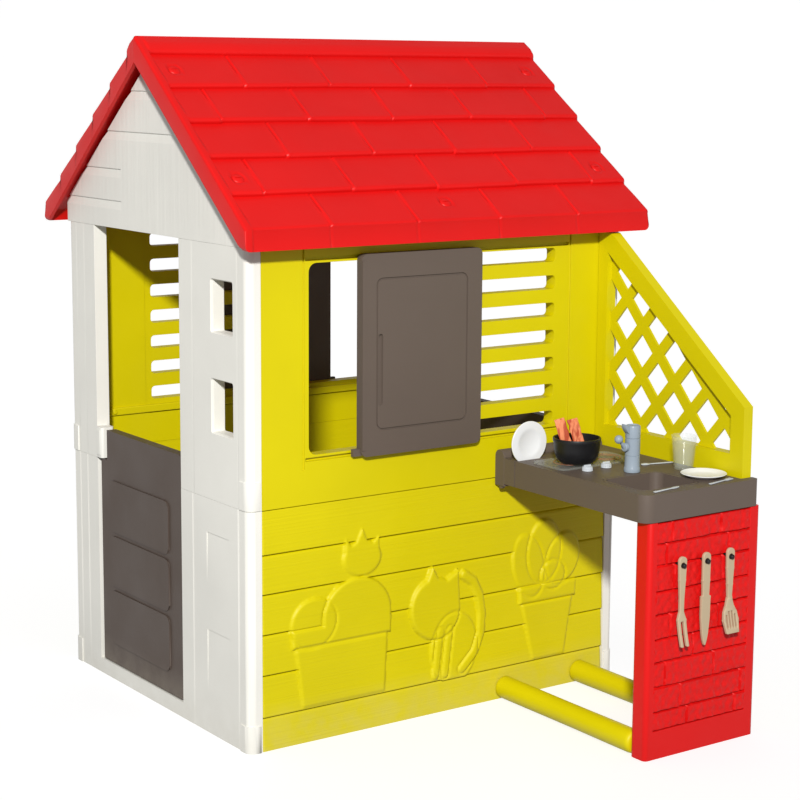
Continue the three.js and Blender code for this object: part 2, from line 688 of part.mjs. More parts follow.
// A small piece of cutlery lying on the counter: a bar with a wider working end.
function cutlery([x, y], turn, width, height) {
  const shape = new THREE.Shape();
  shape.moveTo(-34, -2.5);
  shape.lineTo(14, -2);
  shape.lineTo(18, -width);
  shape.lineTo(34, -width * 0.7);
  shape.lineTo(34, width * 0.7);
  shape.lineTo(18, width);
  shape.lineTo(14, 2);
  shape.lineTo(-34, 2.5);
  const geometry = extruded(shape, 2.4);
  geometry.rotateZ(turn);
  geometry.translate(x, y, height);
  return solid(geometry);
}

// ---- Assembly ----

// One of the two identical sets of house mouldings, in its corner frame.
function houseSet({ gable, wall }) {
  const set = new THREE.Group();
  addPiece(set, `${gable}_lower_frame`, gableLowerFrame(), WHITE);
  addPiece(set, `${gable}_upper_panel`, gableUpperPanel(), WHITE);
  addPiece(set, `${gable}_upper_jamb`, gableUpperJamb(), WHITE);
  addPiece(set, `${gable}_top`, gableTop(), WHITE);
  addPiece(set, `${gable}_half_door`, halfDoor(), TAUPE, [...DOOR_PIVOT, 0]);
  addPiece(set, `${gable}_hinge_bracket`, doorHingeBracket(), WHITE);
  addPiece(set, `${wall}_wall_lower`, lowerWall(), LIME);
  addPiece(set, `${wall}_wall_upper`, upperWall(), LIME);
  addPiece(set, `${wall}_shutter`, shutter(), TAUPE);
  addPiece(set, `${wall}_roof_panel`, roofPanel(), RED);
  SCREW_PLACES.forEach((place, i) => addPiece(set, `${wall}_roof_screw_${i + 1}`, roofScrew(place), RED));
  return set;
}

function kitchen() {
  const set = new THREE.Group();
  addPiece(set, "counter", counter(), TAUPE);
  addPiece(set, "counter_back_block", counterBackBlock(), TAUPE);
  addPiece(set, "hob_plate", hobPlate(), CLEAR);
  for (const { name, place } of KNOBS) addPiece(set, name, hobKnob(place), SILVER, [...place, 0]);
  addPiece(set, "tap_post", tapPost(), STEEL_GREY, [...TAP.place, 0]);
  addPiece(set, "tap_lever", tapLever(), STEEL_GREY);
  addPiece(set, "brick_panel", brickPanel(), RED);
  addPiece(set, "trellis", trellis(), LIME);
  LEGS.across.forEach((x, i) => addPiece(set, `floor_tube_${i + 1}`, floorTube(x), LIME));
  for (const tool of UTENSILS) {
    addPiece(set, `${tool.name}_peg`, peg(tool.x), BLACK);
    addPiece(set, tool.name, utensil(tool), BEIGE, [tool.x, UTENSIL.back, PEG.height]);
  }
  return set;
}

function crockery() {
  const set = new THREE.Group();
  addPiece(set, "pot", pot(), BLACK);
  FOOD.offsets.forEach((offset, i) => addPiece(set, `food_strip_${i + 1}`, foodStrip(offset), ORANGE));
  addPiece(set, "tumbler", tumbler(), CLEAR);
  addPiece(set, "flat_plate", flatPlate(), CROCKERY);
  addPiece(set, "standing_plate", standingPlate(), CROCKERY);
  addPiece(set, "table_fork", cutlery([740, -411], 0.2, 4.5, ON_COUNTER), SILVER);
  addPiece(set, "table_knife", cutlery([612, -408], 0.14, 3.5, ON_COUNTER), SILVER);
  addPiece(set, "table_spoon", cutlery([752, -228], 2.9, 6, ON_COUNTER), SILVER);
  return set;
}

// Moves a set's corner frame to the middle of the house, and turns the second set half round.
function placed(set, turn) {
  set.position.set(-HALF_LENGTH, -HALF_DEPTH, 0);
  const middle = new THREE.Group();
  middle.position.set(0, HOUSE_CENTRE_Y, 0);
  middle.rotation.z = turn;
  middle.add(set);
  return middle;
}

const playhouse = new THREE.Group();
playhouse.add(placed(houseSet({ gable: "door_gable", wall: "front" }), 0));
playhouse.add(placed(houseSet({ gable: "rear_gable", wall: "back" }), Math.PI));
playhouse.add(placed(kitchen(), 0));
playhouse.add(placed(crockery(), 0));

export default playhouse;
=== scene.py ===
import math
import random
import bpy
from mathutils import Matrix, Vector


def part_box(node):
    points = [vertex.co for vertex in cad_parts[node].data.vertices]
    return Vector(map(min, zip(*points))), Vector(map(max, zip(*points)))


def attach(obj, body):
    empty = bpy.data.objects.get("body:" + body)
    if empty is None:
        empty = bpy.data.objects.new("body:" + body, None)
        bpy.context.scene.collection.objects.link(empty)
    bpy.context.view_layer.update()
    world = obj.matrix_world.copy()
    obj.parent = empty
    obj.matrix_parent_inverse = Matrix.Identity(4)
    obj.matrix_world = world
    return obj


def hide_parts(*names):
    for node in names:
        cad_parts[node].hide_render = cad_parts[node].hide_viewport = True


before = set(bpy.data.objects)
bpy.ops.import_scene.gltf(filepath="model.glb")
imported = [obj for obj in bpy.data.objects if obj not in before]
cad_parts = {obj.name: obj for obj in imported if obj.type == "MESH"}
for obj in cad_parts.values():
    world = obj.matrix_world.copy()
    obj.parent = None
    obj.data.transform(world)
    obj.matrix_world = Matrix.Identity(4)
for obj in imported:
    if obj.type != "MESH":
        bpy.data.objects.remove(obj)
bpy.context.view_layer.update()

from types import SimpleNamespace as Sizes

import bmesh
import bpy
import numpy as np
from mathutils import Matrix, Vector

# A plastic playhouse with an outdoor kitchen. Shapes are built in millimetres in a corner frame:
# x from the outer face of the door gable, y from the outer face of the window wall (the kitchen
# has negative y), z from the ground. The house is two sets of the same mouldings, the second
# turned half round about the middle of the house, so most shapes are built once and placed twice.

# ---- Places in the frame ----

MM = 0.001
GABLE_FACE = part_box("door_gable_lower_frame")[0].x
REAR_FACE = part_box("rear_gable_lower_frame")[1].x
WALL_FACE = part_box("front_wall_lower")[0].y
BACK_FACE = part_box("back_wall_lower")[1].y
MIDDLE = Vector(((GABLE_FACE + REAR_FACE) / 2, (WALL_FACE + BACK_FACE) / 2, 0))
LENGTH = (REAR_FACE - GABLE_FACE) / MM
DEPTH = (BACK_FACE - WALL_FACE) / MM
HALF_DEPTH = DEPTH / 2
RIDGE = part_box("front_roof_panel")[1].z / MM
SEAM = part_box("front_wall_lower")[1].z / MM
WALL_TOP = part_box("front_wall_upper")[1].z / MM
EAVE_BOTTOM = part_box("front_roof_panel")[0].z / MM
EAVE_REACH = (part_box("back_roof_panel")[1].y - BACK_FACE) / MM
GABLE_REACH = (GABLE_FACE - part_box("front_roof_panel")[0].x) / MM
GAP = 0.3


def set_matrix(second):
    """From the corner frame of one set of mouldings to the row frame."""
    to_row = Matrix.Translation((GABLE_FACE, WALL_FACE, 0)) @ Matrix.Scale(MM, 4)
    if not second:
        return to_row
    turn = Matrix.Rotation(math.pi, 4, "Z")
    return Matrix.Translation(MIDDLE) @ turn @ Matrix.Translation(-MIDDLE) @ to_row


def corner_box(node):
    """A CAD node's box in the first set's corner frame, as ((x0, x1), (y0, y1), (z0, z1))."""
    low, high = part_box(node)
    origin = Vector((GABLE_FACE, WALL_FACE, 0))
    low, high = (low - origin) / MM, (high - origin) / MM
    return tuple((low[i], high[i]) for i in range(3))


# ---- Materials ----

def linear(red, green, blue):
    """An sRGB colour, 0 to 255, as linear values."""
    def channel(value):
        value /= 255
        return value / 12.92 if value <= 0.04045 else ((value + 0.055) / 1.055) ** 2.4
    return (channel(red), channel(green), channel(blue), 1)


class Nodes:
    """Short calls for building one material's node tree."""

    def __init__(self, name):
        self.material = bpy.data.materials.new(name)
        self.material.use_nodes = True
        self.tree = self.material.node_tree
        self.shader = self.tree.nodes["Principled BSDF"]

    def feed(self, node, inputs):
        """Gives each input its value, or a link from an output."""
        for key, value in inputs.items():
            if isinstance(value, bpy.types.NodeSocket):
                self.tree.links.new(value, node.inputs[key])
            else:
                node.inputs[key].default_value = value

    def add(self, kind, inputs, output=0, **settings):
        """One output of a new node."""
        node = self.tree.nodes.new(kind)
        for key, value in settings.items():
            setattr(node, key, value)
        self.feed(node, inputs)
        return node.outputs[output]

    def position(self, stretch=(1, 1, 1)):
        """Object coordinates in metres, stretched by a factor on each axis."""
        place = self.add("ShaderNodeTexCoord", {}, "Object")
        return self.add("ShaderNodeMapping", {"Vector": place, "Scale": stretch})

    def noise(self, vector, scale, detail=3, roughness=0.55):
        return self.add("ShaderNodeTexNoise", {
            "Vector": vector, "Scale": scale, "Detail": detail, "Roughness": roughness}, "Fac")

    def ranged(self, value, from_low, from_high, to_low, to_high):
        return self.add("ShaderNodeMapRange", {
            "Value": value, "From Min": from_low, "From Max": from_high, "To Min": to_low, "To Max": to_high})

    def mixed(self, factor, first, second):
        """A colour between two, each a colour or an output."""
        return self.add("ShaderNodeMix", {0: factor, 6: first, 7: second}, 2, data_type="RGBA")

    def bump(self, height, strength, distance, **under):
        return self.add("ShaderNodeBump", {
            "Height": height, "Strength": strength, "Distance": distance, **under})


def shade(colour, factor):
    return tuple(channel * factor for channel in colour[:3]) + (1,)


def moulded_plastic(name, colour, roughness, grain=0.12, streaks=None, dust=0.0):
    """Matt moulded plastic: a fine leathery grain, faint flow marks, scuffs and ground dust.

    streaks is the axis that a wood-like grain runs along, or None.
    """
    n = Nodes(name)
    plain = n.position()
    flow = n.ranged(n.noise(plain, 2.6, 4), 0.3, 0.7, 0, 1)
    base = n.mixed(flow, shade(colour, 0.93), shade(colour, 1.05))
    scuffs = n.ranged(n.noise(n.position((60, 60, 14)), 1.4, 5, 0.7), 0.62, 0.74, 0, 1)
    base = n.mixed(n.ranged(scuffs, 0, 1, 0, 0.10), base, shade(colour, 1.2))
    if dust:
        low = n.ranged(n.add("ShaderNodeSeparateXYZ", {0: plain}, "Z"), 0.0, 0.09, dust, 0)
        patches = n.ranged(n.noise(plain, 30, 5), 0.3, 0.7, 0.2, 1)
        patchy = n.add("ShaderNodeMath", {0: low, 1: patches}, operation="MULTIPLY")
        base = n.mixed(patchy, base, linear(176, 168, 150))
    rough = n.ranged(n.noise(plain, 9, 4), 0.3, 0.7, roughness - 0.05, roughness + 0.07)
    normal = n.bump(n.noise(plain, 850, 2, 0.6), grain, 0.0004)
    normal = n.bump(n.noise(plain, 240, 3, 0.6), grain * 0.8, 0.0012, Normal=normal)
    if streaks:
        stretch = {"X": (3, 90, 260), "Z": (90, 90, 3)}[streaks]
        normal = n.bump(n.noise(n.position(stretch), 1, 4, 0.6), 0.35, 0.0022, Normal=normal)
    n.feed(n.shader, {"Base Color": base, "Roughness": rough, "Normal": normal,
                      "Specular IOR Level": 0.24})
    return n.material


def clear_plastic(name, tint, roughness, opacity):
    """Clear polystyrene with faint waviness and fine scratches."""
    n = Nodes(name)
    scratches = n.ranged(n.noise(n.position((300, 40, 60)), 1, 5, 0.7), 0.55, 0.75, 0, 0.12)
    rough = n.add("ShaderNodeMath", {0: scratches, 1: roughness}, operation="ADD")
    waves = n.bump(n.noise(n.position(), 45, 2), 0.25, 0.002)
    n.feed(n.shader, {"Base Color": tint, "Alpha": opacity, "IOR": 1.49, "Roughness": rough,
                      "Normal": waves})
    return n.material


def food(name, colour, stripe):
    """Matt printed food with paler bands along it."""
    n = Nodes(name)
    bands = n.ranged(n.noise(n.position((150, 150, 22)), 1, 3), 0.45, 0.56, 0, 1)
    n.feed(n.shader, {"Base Color": n.mixed(bands, colour, stripe), "Roughness": 0.55,
                      "Normal": n.bump(n.noise(n.position(), 400, 3), 0.4, 0.001)})
    return n.material


RED = linear(205, 15, 14)
LIME = linear(203, 190, 0)
WHITE = linear(226, 225, 218)
TAUPE = linear(92, 81, 73)
# Looks, each a material and the slot it belongs to.
RED_SHELL = moulded_plastic("red_shell", RED, 0.42, 0.10), "red_plastic"
RED_STONE = moulded_plastic("red_stone", RED, 0.46, 0.30), "red_plastic"
LIME_SHELL = moulded_plastic("lime_shell", LIME, 0.44, 0.12), "lime_plastic"
LIME_BOARDS = moulded_plastic("lime_boards", LIME, 0.46, 0.12, "X", 0.25), "lime_plastic"
WHITE_SHELL = moulded_plastic("white_shell", WHITE, 0.45, 0.12, None, 0.2), "white_plastic"
WHITE_BOARDS = moulded_plastic("white_boards", WHITE, 0.48, 0.12, "Z"), "white_plastic"
TAUPE_SHELL = moulded_plastic("taupe_shell", TAUPE, 0.48, 0.14), "taupe_plastic"
DOOR_SHELL = moulded_plastic("door_shell", linear(78, 67, 60), 0.5, 0.16, None, 0.3), "taupe_plastic"
GREY_TAP = moulded_plastic("grey_tap", linear(140, 152, 164), 0.28, 0.04), "grey_plastic"
SILVER = moulded_plastic("silver_plastic_look", linear(184, 190, 196), 0.22, 0.04), "silver_plastic"
BEIGE = moulded_plastic("beige_handles", linear(180, 162, 134), 0.45, 0.10), "beige_plastic"
CHINA = moulded_plastic("pale_crockery", linear(228, 230, 232), 0.3, 0.03), "crockery_plastic"
BLACK_POT = moulded_plastic("black_pot", linear(22, 22, 24), 0.42, 0.10), "black_plastic"
FOOD = food("orange_food", linear(168, 62, 24), linear(220, 128, 84)), "orange_plastic"
CLEAR = clear_plastic("clear_plastic_look", (0.55, 0.6, 0.56, 1), 0.06, 0.14), "clear_plastic"
RING_PRINT = moulded_plastic("hob_ring_print", linear(150, 88, 56), 0.4, 0.05), "orange_plastic"

# ---- Mesh helpers ----

Z_AXIS = "plan"
Y_AXIS = "front"
X_AXIS = "side"


def arc(centre, radius, start, end, steps=8):
    """Points on an arc, angles in degrees."""
    angles = [math.radians(start + (end - start) * i / steps) for i in range(steps + 1)]
    return [(centre[0] + radius * math.cos(a), centre[1] + radius * math.sin(a)) for a in angles]


def rounded(across, up, radius, steps=6):
    (u0, u1), (v0, v1), r = across, up, radius
    return (arc((u1 - r, v0 + r), r, -90, 0, steps) + arc((u1 - r, v1 - r), r, 0, 90, steps)
            + arc((u0 + r, v1 - r), r, 90, 180, steps) + arc((u0 + r, v0 + r), r, 180, 270, steps))


def rectangle(across, up):
    (u0, u1), (v0, v1) = across, up
    return [(u0, v0), (u1, v0), (u1, v1), (u0, v1)]


def finished(bm):
    mesh = bpy.data.meshes.new("part")
    bm.to_mesh(mesh)
    bm.free()
    return mesh


def reopened(*meshes):
    bm = bmesh.new()
    for mesh in meshes:
        bm.from_mesh(mesh)
    return bm


def to_mesh(bm):
    """A mesh with its faces turned outwards."""
    bmesh.ops.recalc_face_normals(bm, faces=bm.faces)
    if bm.calc_volume(signed=True) < 0:
        bmesh.ops.reverse_faces(bm, faces=bm.faces)
    return finished(bm)


def stitch(bm, rings):
    """Joins rings of points with faces; a ring may be a single point."""
    for lower, upper in zip(rings, rings[1:]):
        for i in range(max(len(lower), len(upper))):
            corners = [lower[i % len(lower)], lower[(i + 1) % len(lower)],
                       upper[(i + 1) % len(upper)], upper[i % len(upper)]]
            corners = list(dict.fromkeys(corners))
            if len(corners) > 2:
                bm.faces.new(corners)


def circle(bm, radius, height, sides):
    """A ring of points about the Z axis, or one point when it has no radius."""
    if radius < 1e-6:
        return [bm.verts.new((0, 0, height))]
    turn = [math.tau * i / sides for i in range(sides)]
    return [bm.verts.new((radius * math.cos(a), radius * math.sin(a), height)) for a in turn]


def prism(outline, run, low, high):
    """A closed solid from an outline: (x, y) for plan, (x, z) for front, (y, z) for side."""
    def at(point, depth):
        u, v = point
        return {Z_AXIS: (u, v, depth), Y_AXIS: (u, depth, v), X_AXIS: (depth, u, v)}[run]
    bm = bmesh.new()
    ends = [[bm.verts.new(at(point, depth)) for point in outline] for depth in (low, high)]
    for end in ends:
        bm.faces.new(end)
    stitch(bm, ends)
    return to_mesh(bm)


def box(across, along, up):
    return prism(rectangle(across, along), Z_AXIS, *up)


def slab(run, across, up, radius, low, high, steps=6):
    """A prism with a rounded rectangle for its outline."""
    return prism(rounded(across, up, radius, steps), run, low, high)


def turned(profile, centre=(0, 0, 0), sides=48, axis="Z"):
    """A body turned from (radius, distance along the axis) pairs, or a ring if it starts off the axis."""
    bm = bmesh.new()
    rings = [circle(bm, radius, along, sides) for radius, along in profile]
    stitch(bm, rings + (rings[:1] if profile[0][0] else []))
    mesh = to_mesh(bm)
    if axis == "Y":
        mesh.transform(Matrix.Rotation(-math.pi / 2, 4, "X"))
    if axis == "X":
        mesh.transform(Matrix.Rotation(math.pi / 2, 4, "Y"))
    return moved(mesh, centre)


def cylinder(spot, radius, low, high, sides):
    return turned([(0, low), (radius, low), (radius, high), (0, high)], (*spot, 0), sides)


def moved(mesh, by, turn=Matrix()):
    mesh.transform(Matrix.Translation(by) @ turn)
    return mesh


def merged(*meshes):
    """Several closed meshes as one mesh."""
    return finished(reopened(*meshes))


def linked(name, data):
    """A new object in the scene."""
    obj = bpy.data.objects.new(name, data)
    bpy.context.scene.collection.objects.link(obj)
    return obj


def with_modifiers(mesh, *settings):
    """The mesh after some modifiers, each a (type, values) pair."""
    obj = linked("work", mesh)
    for kind, values in settings:
        modifier = obj.modifiers.new(kind, kind)
        for key, value in values.items():
            setattr(modifier, key, value)
    graph = bpy.context.evaluated_depsgraph_get()
    result = bpy.data.meshes.new_from_object(obj.evaluated_get(graph), depsgraph=graph)
    bpy.data.objects.remove(obj)
    return result


def combine(mesh, tools, operation="DIFFERENCE"):
    """A boolean with every tool mesh in turn."""
    for tool in tools:
        other = linked("tool", tool)
        mesh = with_modifiers(mesh, ("BOOLEAN", {
            "operation": operation, "object": other, "solver": "EXACT"}))
        bpy.data.objects.remove(other)
    return mesh


def cut(mesh, *tools):
    return combine(mesh, [merged(*tools)])


def joined(mesh, *tools):
    return combine(mesh, tools, "UNION")


def tidy(mesh):
    """Merges doubled points and flat neighbouring faces."""
    bm = reopened(mesh)
    bmesh.ops.remove_doubles(bm, verts=bm.verts, dist=0.002)
    bmesh.ops.dissolve_limit(bm, angle_limit=math.radians(0.6), verts=bm.verts, edges=bm.edges)
    return to_mesh(bm)


BEVELLED = 1
FLAT = math.radians(0.3)  # faces that meet at less than this are flat together


def rounded_edges(mesh, width, segments=3, angle=32):
    """Rounds every sharp edge; wide flat faces stay flat shaded and curved ones smooth."""
    sharp = math.radians(angle)
    for _ in range(2):
        mesh.materials.append(None)  # room for the number that marks the bevel's own faces
    mesh = with_modifiers(mesh, ("BEVEL", {
        "width": width, "segments": segments, "limit_method": "ANGLE", "angle_limit": sharp,
        "material": BEVELLED, "use_clamp_overlap": True}))
    bm = reopened(mesh)
    for face in bm.faces:
        turns = [edge.calc_face_angle(0) for edge in face.edges
                 if all(other.material_index != BEVELLED for other in edge.link_faces)]
        curved = any(FLAT < turn < sharp for turn in turns)
        narrow = face.calc_area() < 4 * face.calc_perimeter()
        face.smooth = face.material_index == BEVELLED or (curved and narrow)
    for face in bm.faces:
        face.material_index = 0
    return finished(bm)


def soft_edges(mesh, width, segments=3, angle=32):
    """Rounds every sharp edge, as a mould does."""
    return rounded_edges(tidy(mesh), width, segments, angle)


def smooth(mesh, angle=35):
    """Shades a curved mesh smooth, with creases where it turns by more than an angle."""
    mesh.shade_smooth()
    mesh.set_sharp_from_angle(angle=math.radians(angle))
    return mesh


def place(name, mesh, look, body="house", nodes=(), second=False):
    """Puts a finished corner-frame mesh into the row frame as a piece that stands for CAD nodes."""
    material, slot = look
    mesh = mesh.copy()
    mesh.transform(set_matrix(second))
    mesh.materials.clear()
    mesh.materials.append(material)
    obj = linked(name, mesh)
    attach(obj, body)
    if nodes:
        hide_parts(*nodes)


def stand_in(node, ending, mesh, look, body="house"):
    """Places the piece that stands for one CAD node."""
    place(node + ending, mesh, look, body, [node])


def both_sets(node, mesh, look, body="house"):
    """Places one moulding in both sets; node and body hold {} where the set's name goes."""
    first, second = ("door", "rear") if "gable" in node else ("front", "back")
    for name, turned_round in ((first, False), (second, True)):
        place(node.format(name) + "_moulding", mesh, look, body.format(name),
              [node.format(name)], turned_round)


# ---- Grids with a height at each point ----

def lines(low, high, pitch, extra=()):
    """Sorted grid lines about a pitch apart, with extra ones where the shape needs them."""
    count = max(2, round((high - low) / pitch) + 1)
    values = list(np.linspace(low, high, count))
    kept = [v for v in values if all(abs(v - e) > pitch * 0.3 for e in extra)]
    inside = [e for e in extra if low < e < high]
    return np.array(sorted(set([low, high] + [v for v in kept if low < v < high] + inside)))


def grid_solid(front, back):
    """A closed solid between two grids of points of one shape, each an array (m, n, 3)."""
    m, n = front.shape[:2]
    points = np.concatenate([front.reshape(-1, 3), back.reshape(-1, 3)])
    index = np.arange(m * n).reshape(m, n)
    first = np.stack([index[:-1, :-1], index[1:, :-1], index[1:, 1:], index[:-1, 1:]], -1)
    faces = [first.reshape(-1, 4), first.reshape(-1, 4)[:, ::-1] + m * n]
    rim = np.concatenate([index[:, 0], index[-1, 1:], index[-2::-1, -1], index[0, -2:0:-1]])
    following = np.roll(rim, -1)
    faces.append(np.stack([following, rim, rim + m * n, following + m * n], -1))
    mesh = bpy.data.meshes.new("part")
    mesh.from_pydata(points.tolist(), [], np.concatenate(faces).tolist())
    return to_mesh(reopened(mesh))


def ramp(value, low, high):
    t = np.clip((value - low) / (high - low), 0, 1)
    return t * t * (3 - 2 * t)


def nose(distance, radius):
    """How far a rounded edge has dropped at a distance in from it."""
    inside = np.clip(radius - distance, 0, radius)
    return radius - np.sqrt(radius * radius - inside * inside)


def ripple(u, v, seed, wave):
    """A smooth seeded unevenness, about -1 to 1."""
    rng = random.Random(seed)
    total = 0
    for _ in range(6):
        turn, phase = rng.uniform(0, math.tau), rng.uniform(0, math.tau)
        length = wave * rng.uniform(0.6, 1.7)
        total = total + np.sin(math.tau * (u * math.cos(turn) + v * math.sin(turn)) / length + phase)
    return total / 3.5


# ---- Flat shapes as signed distances, positive inside ----

def disc(u, v, centre, radii, turn=0):
    """An ellipse, by an approximate distance."""
    a = math.radians(turn)
    du, dv = u - centre[0], v - centre[1]
    p = (du * math.cos(a) + dv * math.sin(a)) / radii[0]
    q = (dv * math.cos(a) - du * math.sin(a)) / radii[1]
    return (1 - np.sqrt(p * p + q * q)) * min(radii)


def outline_distance(u, v, points):
    """The distance to a line through points."""
    best = np.full(u.shape, 1e9)
    for (u0, v0), (u1, v1) in zip(points, points[1:]):
        eu, ev = u1 - u0, v1 - v0
        t = np.clip(((u - u0) * eu + (v - v0) * ev) / (eu * eu + ev * ev), 0, 1)
        best = np.minimum(best, np.hypot(u - u0 - t * eu, v - v0 - t * ev))
    return best


def polygon(u, v, points):
    """A convex or concave polygon."""
    points = points + points[:1]
    inside = np.zeros(u.shape, bool)
    for (u0, v0), (u1, v1) in zip(points, points[1:]):
        if v1 != v0:
            inside ^= ((v0 > v) != (v1 > v)) & (u < (u1 - u0) * (v - v0) / (v1 - v0) + u0)
    return outline_distance(u, v, points) * np.where(inside, 1, -1)


def stroke(u, v, points, radius):
    """A line of some width through points."""
    return radius - outline_distance(u, v, points)


# ---- Roof ----

EAVE_TOP = EAVE_BOTTOM + 38
ROOF_RUN = HALF_DEPTH + EAVE_REACH
PITCH = math.atan2(RIDGE - EAVE_TOP, ROOF_RUN)
SLOPE = math.hypot(RIDGE - EAVE_TOP, ROOF_RUN)
RIDGE_CAP = 43
TILE_LENGTH, TILE_WIDTH, TILE_STEP, TILE_ROWS = 95, 186, 9, 5
FIRST_CUT = {0: 145, 1: 52}  # where the first upright cut of even and odd rows is
ROOF_SKIN, BARGE_DEPTH, FLANGE = 20, 37, 8
SCREW_PLACES = [(18, 90), (18, 382), (421, 461), (834, 90), (834, 382)]
DISH = Sizes(radius=15.5, depth=2.4)
CAP_CROWN = 3.0  # height of the bend along the ridge strip
LAP_ROUND = 7
BORDER = 13  # width of the plain edge along one gable, where the laps end


def on_slope(x, down, over):
    """Points from a distance down the slope and a height square to it."""
    y = HALF_DEPTH - down * math.cos(PITCH) - over * math.sin(PITCH)
    z = RIDGE - down * math.sin(PITCH) + over * math.cos(PITCH)
    return np.stack([x, y, z], -1)


def roof_lines():
    """Grid lines down the slope, close together at each lap."""
    values = {0.0, SLOPE, 0.5, 1.5, 4.0, SLOPE - 0.4, SLOPE - 1.5, SLOPE - 3.5, SLOPE - 7}
    for row in range(TILE_ROWS):
        start = RIDGE_CAP + row * TILE_LENGTH
        values.update((start - 7, start - 5, start - 3.4, start - 2, start - 1, start - 0.4, start - 0.01))
        values.update((start + 0.01, start + 1.5))
        end = min(start + TILE_LENGTH - 7, SLOPE - 7)
        values.update(np.linspace(start + 4, end, 14)[:-1].tolist())
    values.update(np.linspace(4, RIDGE_CAP - 6, 6)[1:-1].tolist())
    return np.array(sorted(values))


def tile_height(x, down):
    """Height of the tiles over the slope's plane, and how far each lap edge is shifted."""
    rng = random.Random(11)
    cap = down / RIDGE_CAP
    height = CAP_CROWN * np.clip(np.minimum(cap / 0.55, (1 - cap) / 0.45), 0, 1)
    height = height - nose(RIDGE_CAP - 0.01 - down, LAP_ROUND) * (down < RIDGE_CAP)
    shift = np.zeros(x.shape)
    for row in range(TILE_ROWS):
        start = RIDGE_CAP + row * TILE_LENGTH
        end = SLOPE if row == TILE_ROWS - 1 else start + TILE_LENGTH
        here = (down >= start) & ((down < end) | (row == TILE_ROWS - 1))
        along = (down - start) / (end - start)
        surface = -TILE_STEP * (1 - along) + 0.35 * ripple(x, down, row, 120)
        first = FIRST_CUT[row % 2]
        number = np.floor((x - first) / TILE_WIDTH)
        for tile in range(-2, 6):
            lift, tilt, twist, edge = (rng.uniform(-1, 1) for _ in range(4))
            this = number == tile
            across = ((x - first) / TILE_WIDTH - tile) - 0.5
            surface = surface + this * (0.5 * lift * along + 1.1 * tilt * across * along)
            near = np.clip(1 - np.abs(down - end) / 18, 0, 1)
            shift = shift + this * near * (1.6 * edge + 2.2 * twist * across) * (row < TILE_ROWS - 1)
        for tile in range(-1, 6):
            middle = first + tile * TILE_WIDTH + 2.5 * (0.5 - along)
            if not 0 < first + tile * TILE_WIDTH < LENGTH:
                continue
            off = np.abs(x - middle)
            surface = surface - 3.6 * (1 - ramp(off, 0.4, 3.4)) + 0.7 * (1 - ramp(off, 3.4, 9))
        radius = LAP_ROUND if row < TILE_ROWS - 1 else 5
        surface = surface - nose(end - 0.01 - down, radius)
        height = np.where(here, surface, height)
    for screw_x, screw_down in SCREW_PLACES:
        away = np.hypot(x - screw_x, down - screw_down)
        height = height - DISH.depth * (1 - ramp(away, DISH.radius - 3, DISH.radius))
        height = height + 0.8 * np.exp(-((away - DISH.radius - 1.5) / 2) ** 2)
    border = 1 - ramp(x + GABLE_REACH, BORDER, BORDER + 5)
    height = height * (1 - border) - 0.4 * border
    from_edge = np.minimum(x + GABLE_REACH, LENGTH + GABLE_REACH - x)
    return height - nose(from_edge, 5), shift * (1 - border)


def roof_panel():
    edges = [0.5, 1.6, 3.2, 5, FLANGE - 0.1, FLANGE + 0.1, 13, 14.5, 15.5, 16.5, 18, 22]
    low, high = -GABLE_REACH, LENGTH + GABLE_REACH
    extra = [low + e for e in edges] + [high - e for e in edges]
    x, down = np.meshgrid(lines(low, high, 2.8, extra), roof_lines(), indexing="ij")
    height, shift = tile_height(x, down)
    ridge_side = HALF_DEPTH - GAP / 2
    top = on_slope(x, down + shift, height)
    top[..., 1] = np.minimum(top[..., 1], ridge_side)
    from_edge = np.minimum(x - low, high - x)
    flange = from_edge < FLANGE
    y = np.minimum(HALF_DEPTH - down * math.cos(PITCH), ridge_side)
    plane = RIDGE - (HALF_DEPTH - y) * math.tan(PITCH)
    z = plane - np.where(flange, BARGE_DEPTH, ROOF_SKIN) / math.cos(PITCH)
    z = np.maximum(z, EAVE_BOTTOM)
    z = np.where(y < FLANGE - EAVE_REACH, EAVE_BOTTOM, z)
    round_corner = nose(from_edge, 10) * (y < FLANGE - EAVE_REACH + 12)
    z = np.maximum(z, EAVE_BOTTOM + round_corner)
    under = np.stack([x, y, z], -1)
    return smooth(grid_solid(top, under), 40)


def roof_screw(spot):
    """A domed screw cap in its dish, square to the slope."""
    x, down = spot
    along = ((down - RIDGE_CAP) % TILE_LENGTH) / TILE_LENGTH
    seat = -TILE_STEP * (1 - along) - DISH.depth
    dome = [(11.5 * math.cos(a), 0.8 + 3.6 * math.sin(a)) for a in np.linspace(0, math.pi / 2, 7)[:-1]]
    mesh = turned([(0, -6), (3, -6), (3, 0)] + dome + [(0, 4.4)], sides=28)
    mesh = cut(mesh, box((-7, 7), (-1, 1), (3, 6)))
    centre = on_slope(np.array(float(x)), down, seat)
    return smooth(moved(mesh, centre.tolist(), Matrix.Rotation(PITCH, 4, "X")))


def make_roof():
    both_sets("{}_roof_panel", roof_panel(), RED_SHELL)
    for number, spot in enumerate(SCREW_PLACES, 1):
        both_sets("{}_roof_screw_%d" % number, roof_screw(spot), RED_SHELL)


# ---- Window walls ----

WALL_SEAT = 27  # from the gable's outer face to the rebate where a window wall stands
WALL_SPAN = (WALL_SEAT + GAP, LENGTH - WALL_SEAT - GAP)
WALL_THICKNESS = 30
BOARD_LINES = (63, 141, 216, 290, 362)
BOARD_LAP = 4
LAP_GROOVE = 7  # depth of the shadow line under each lapped edge


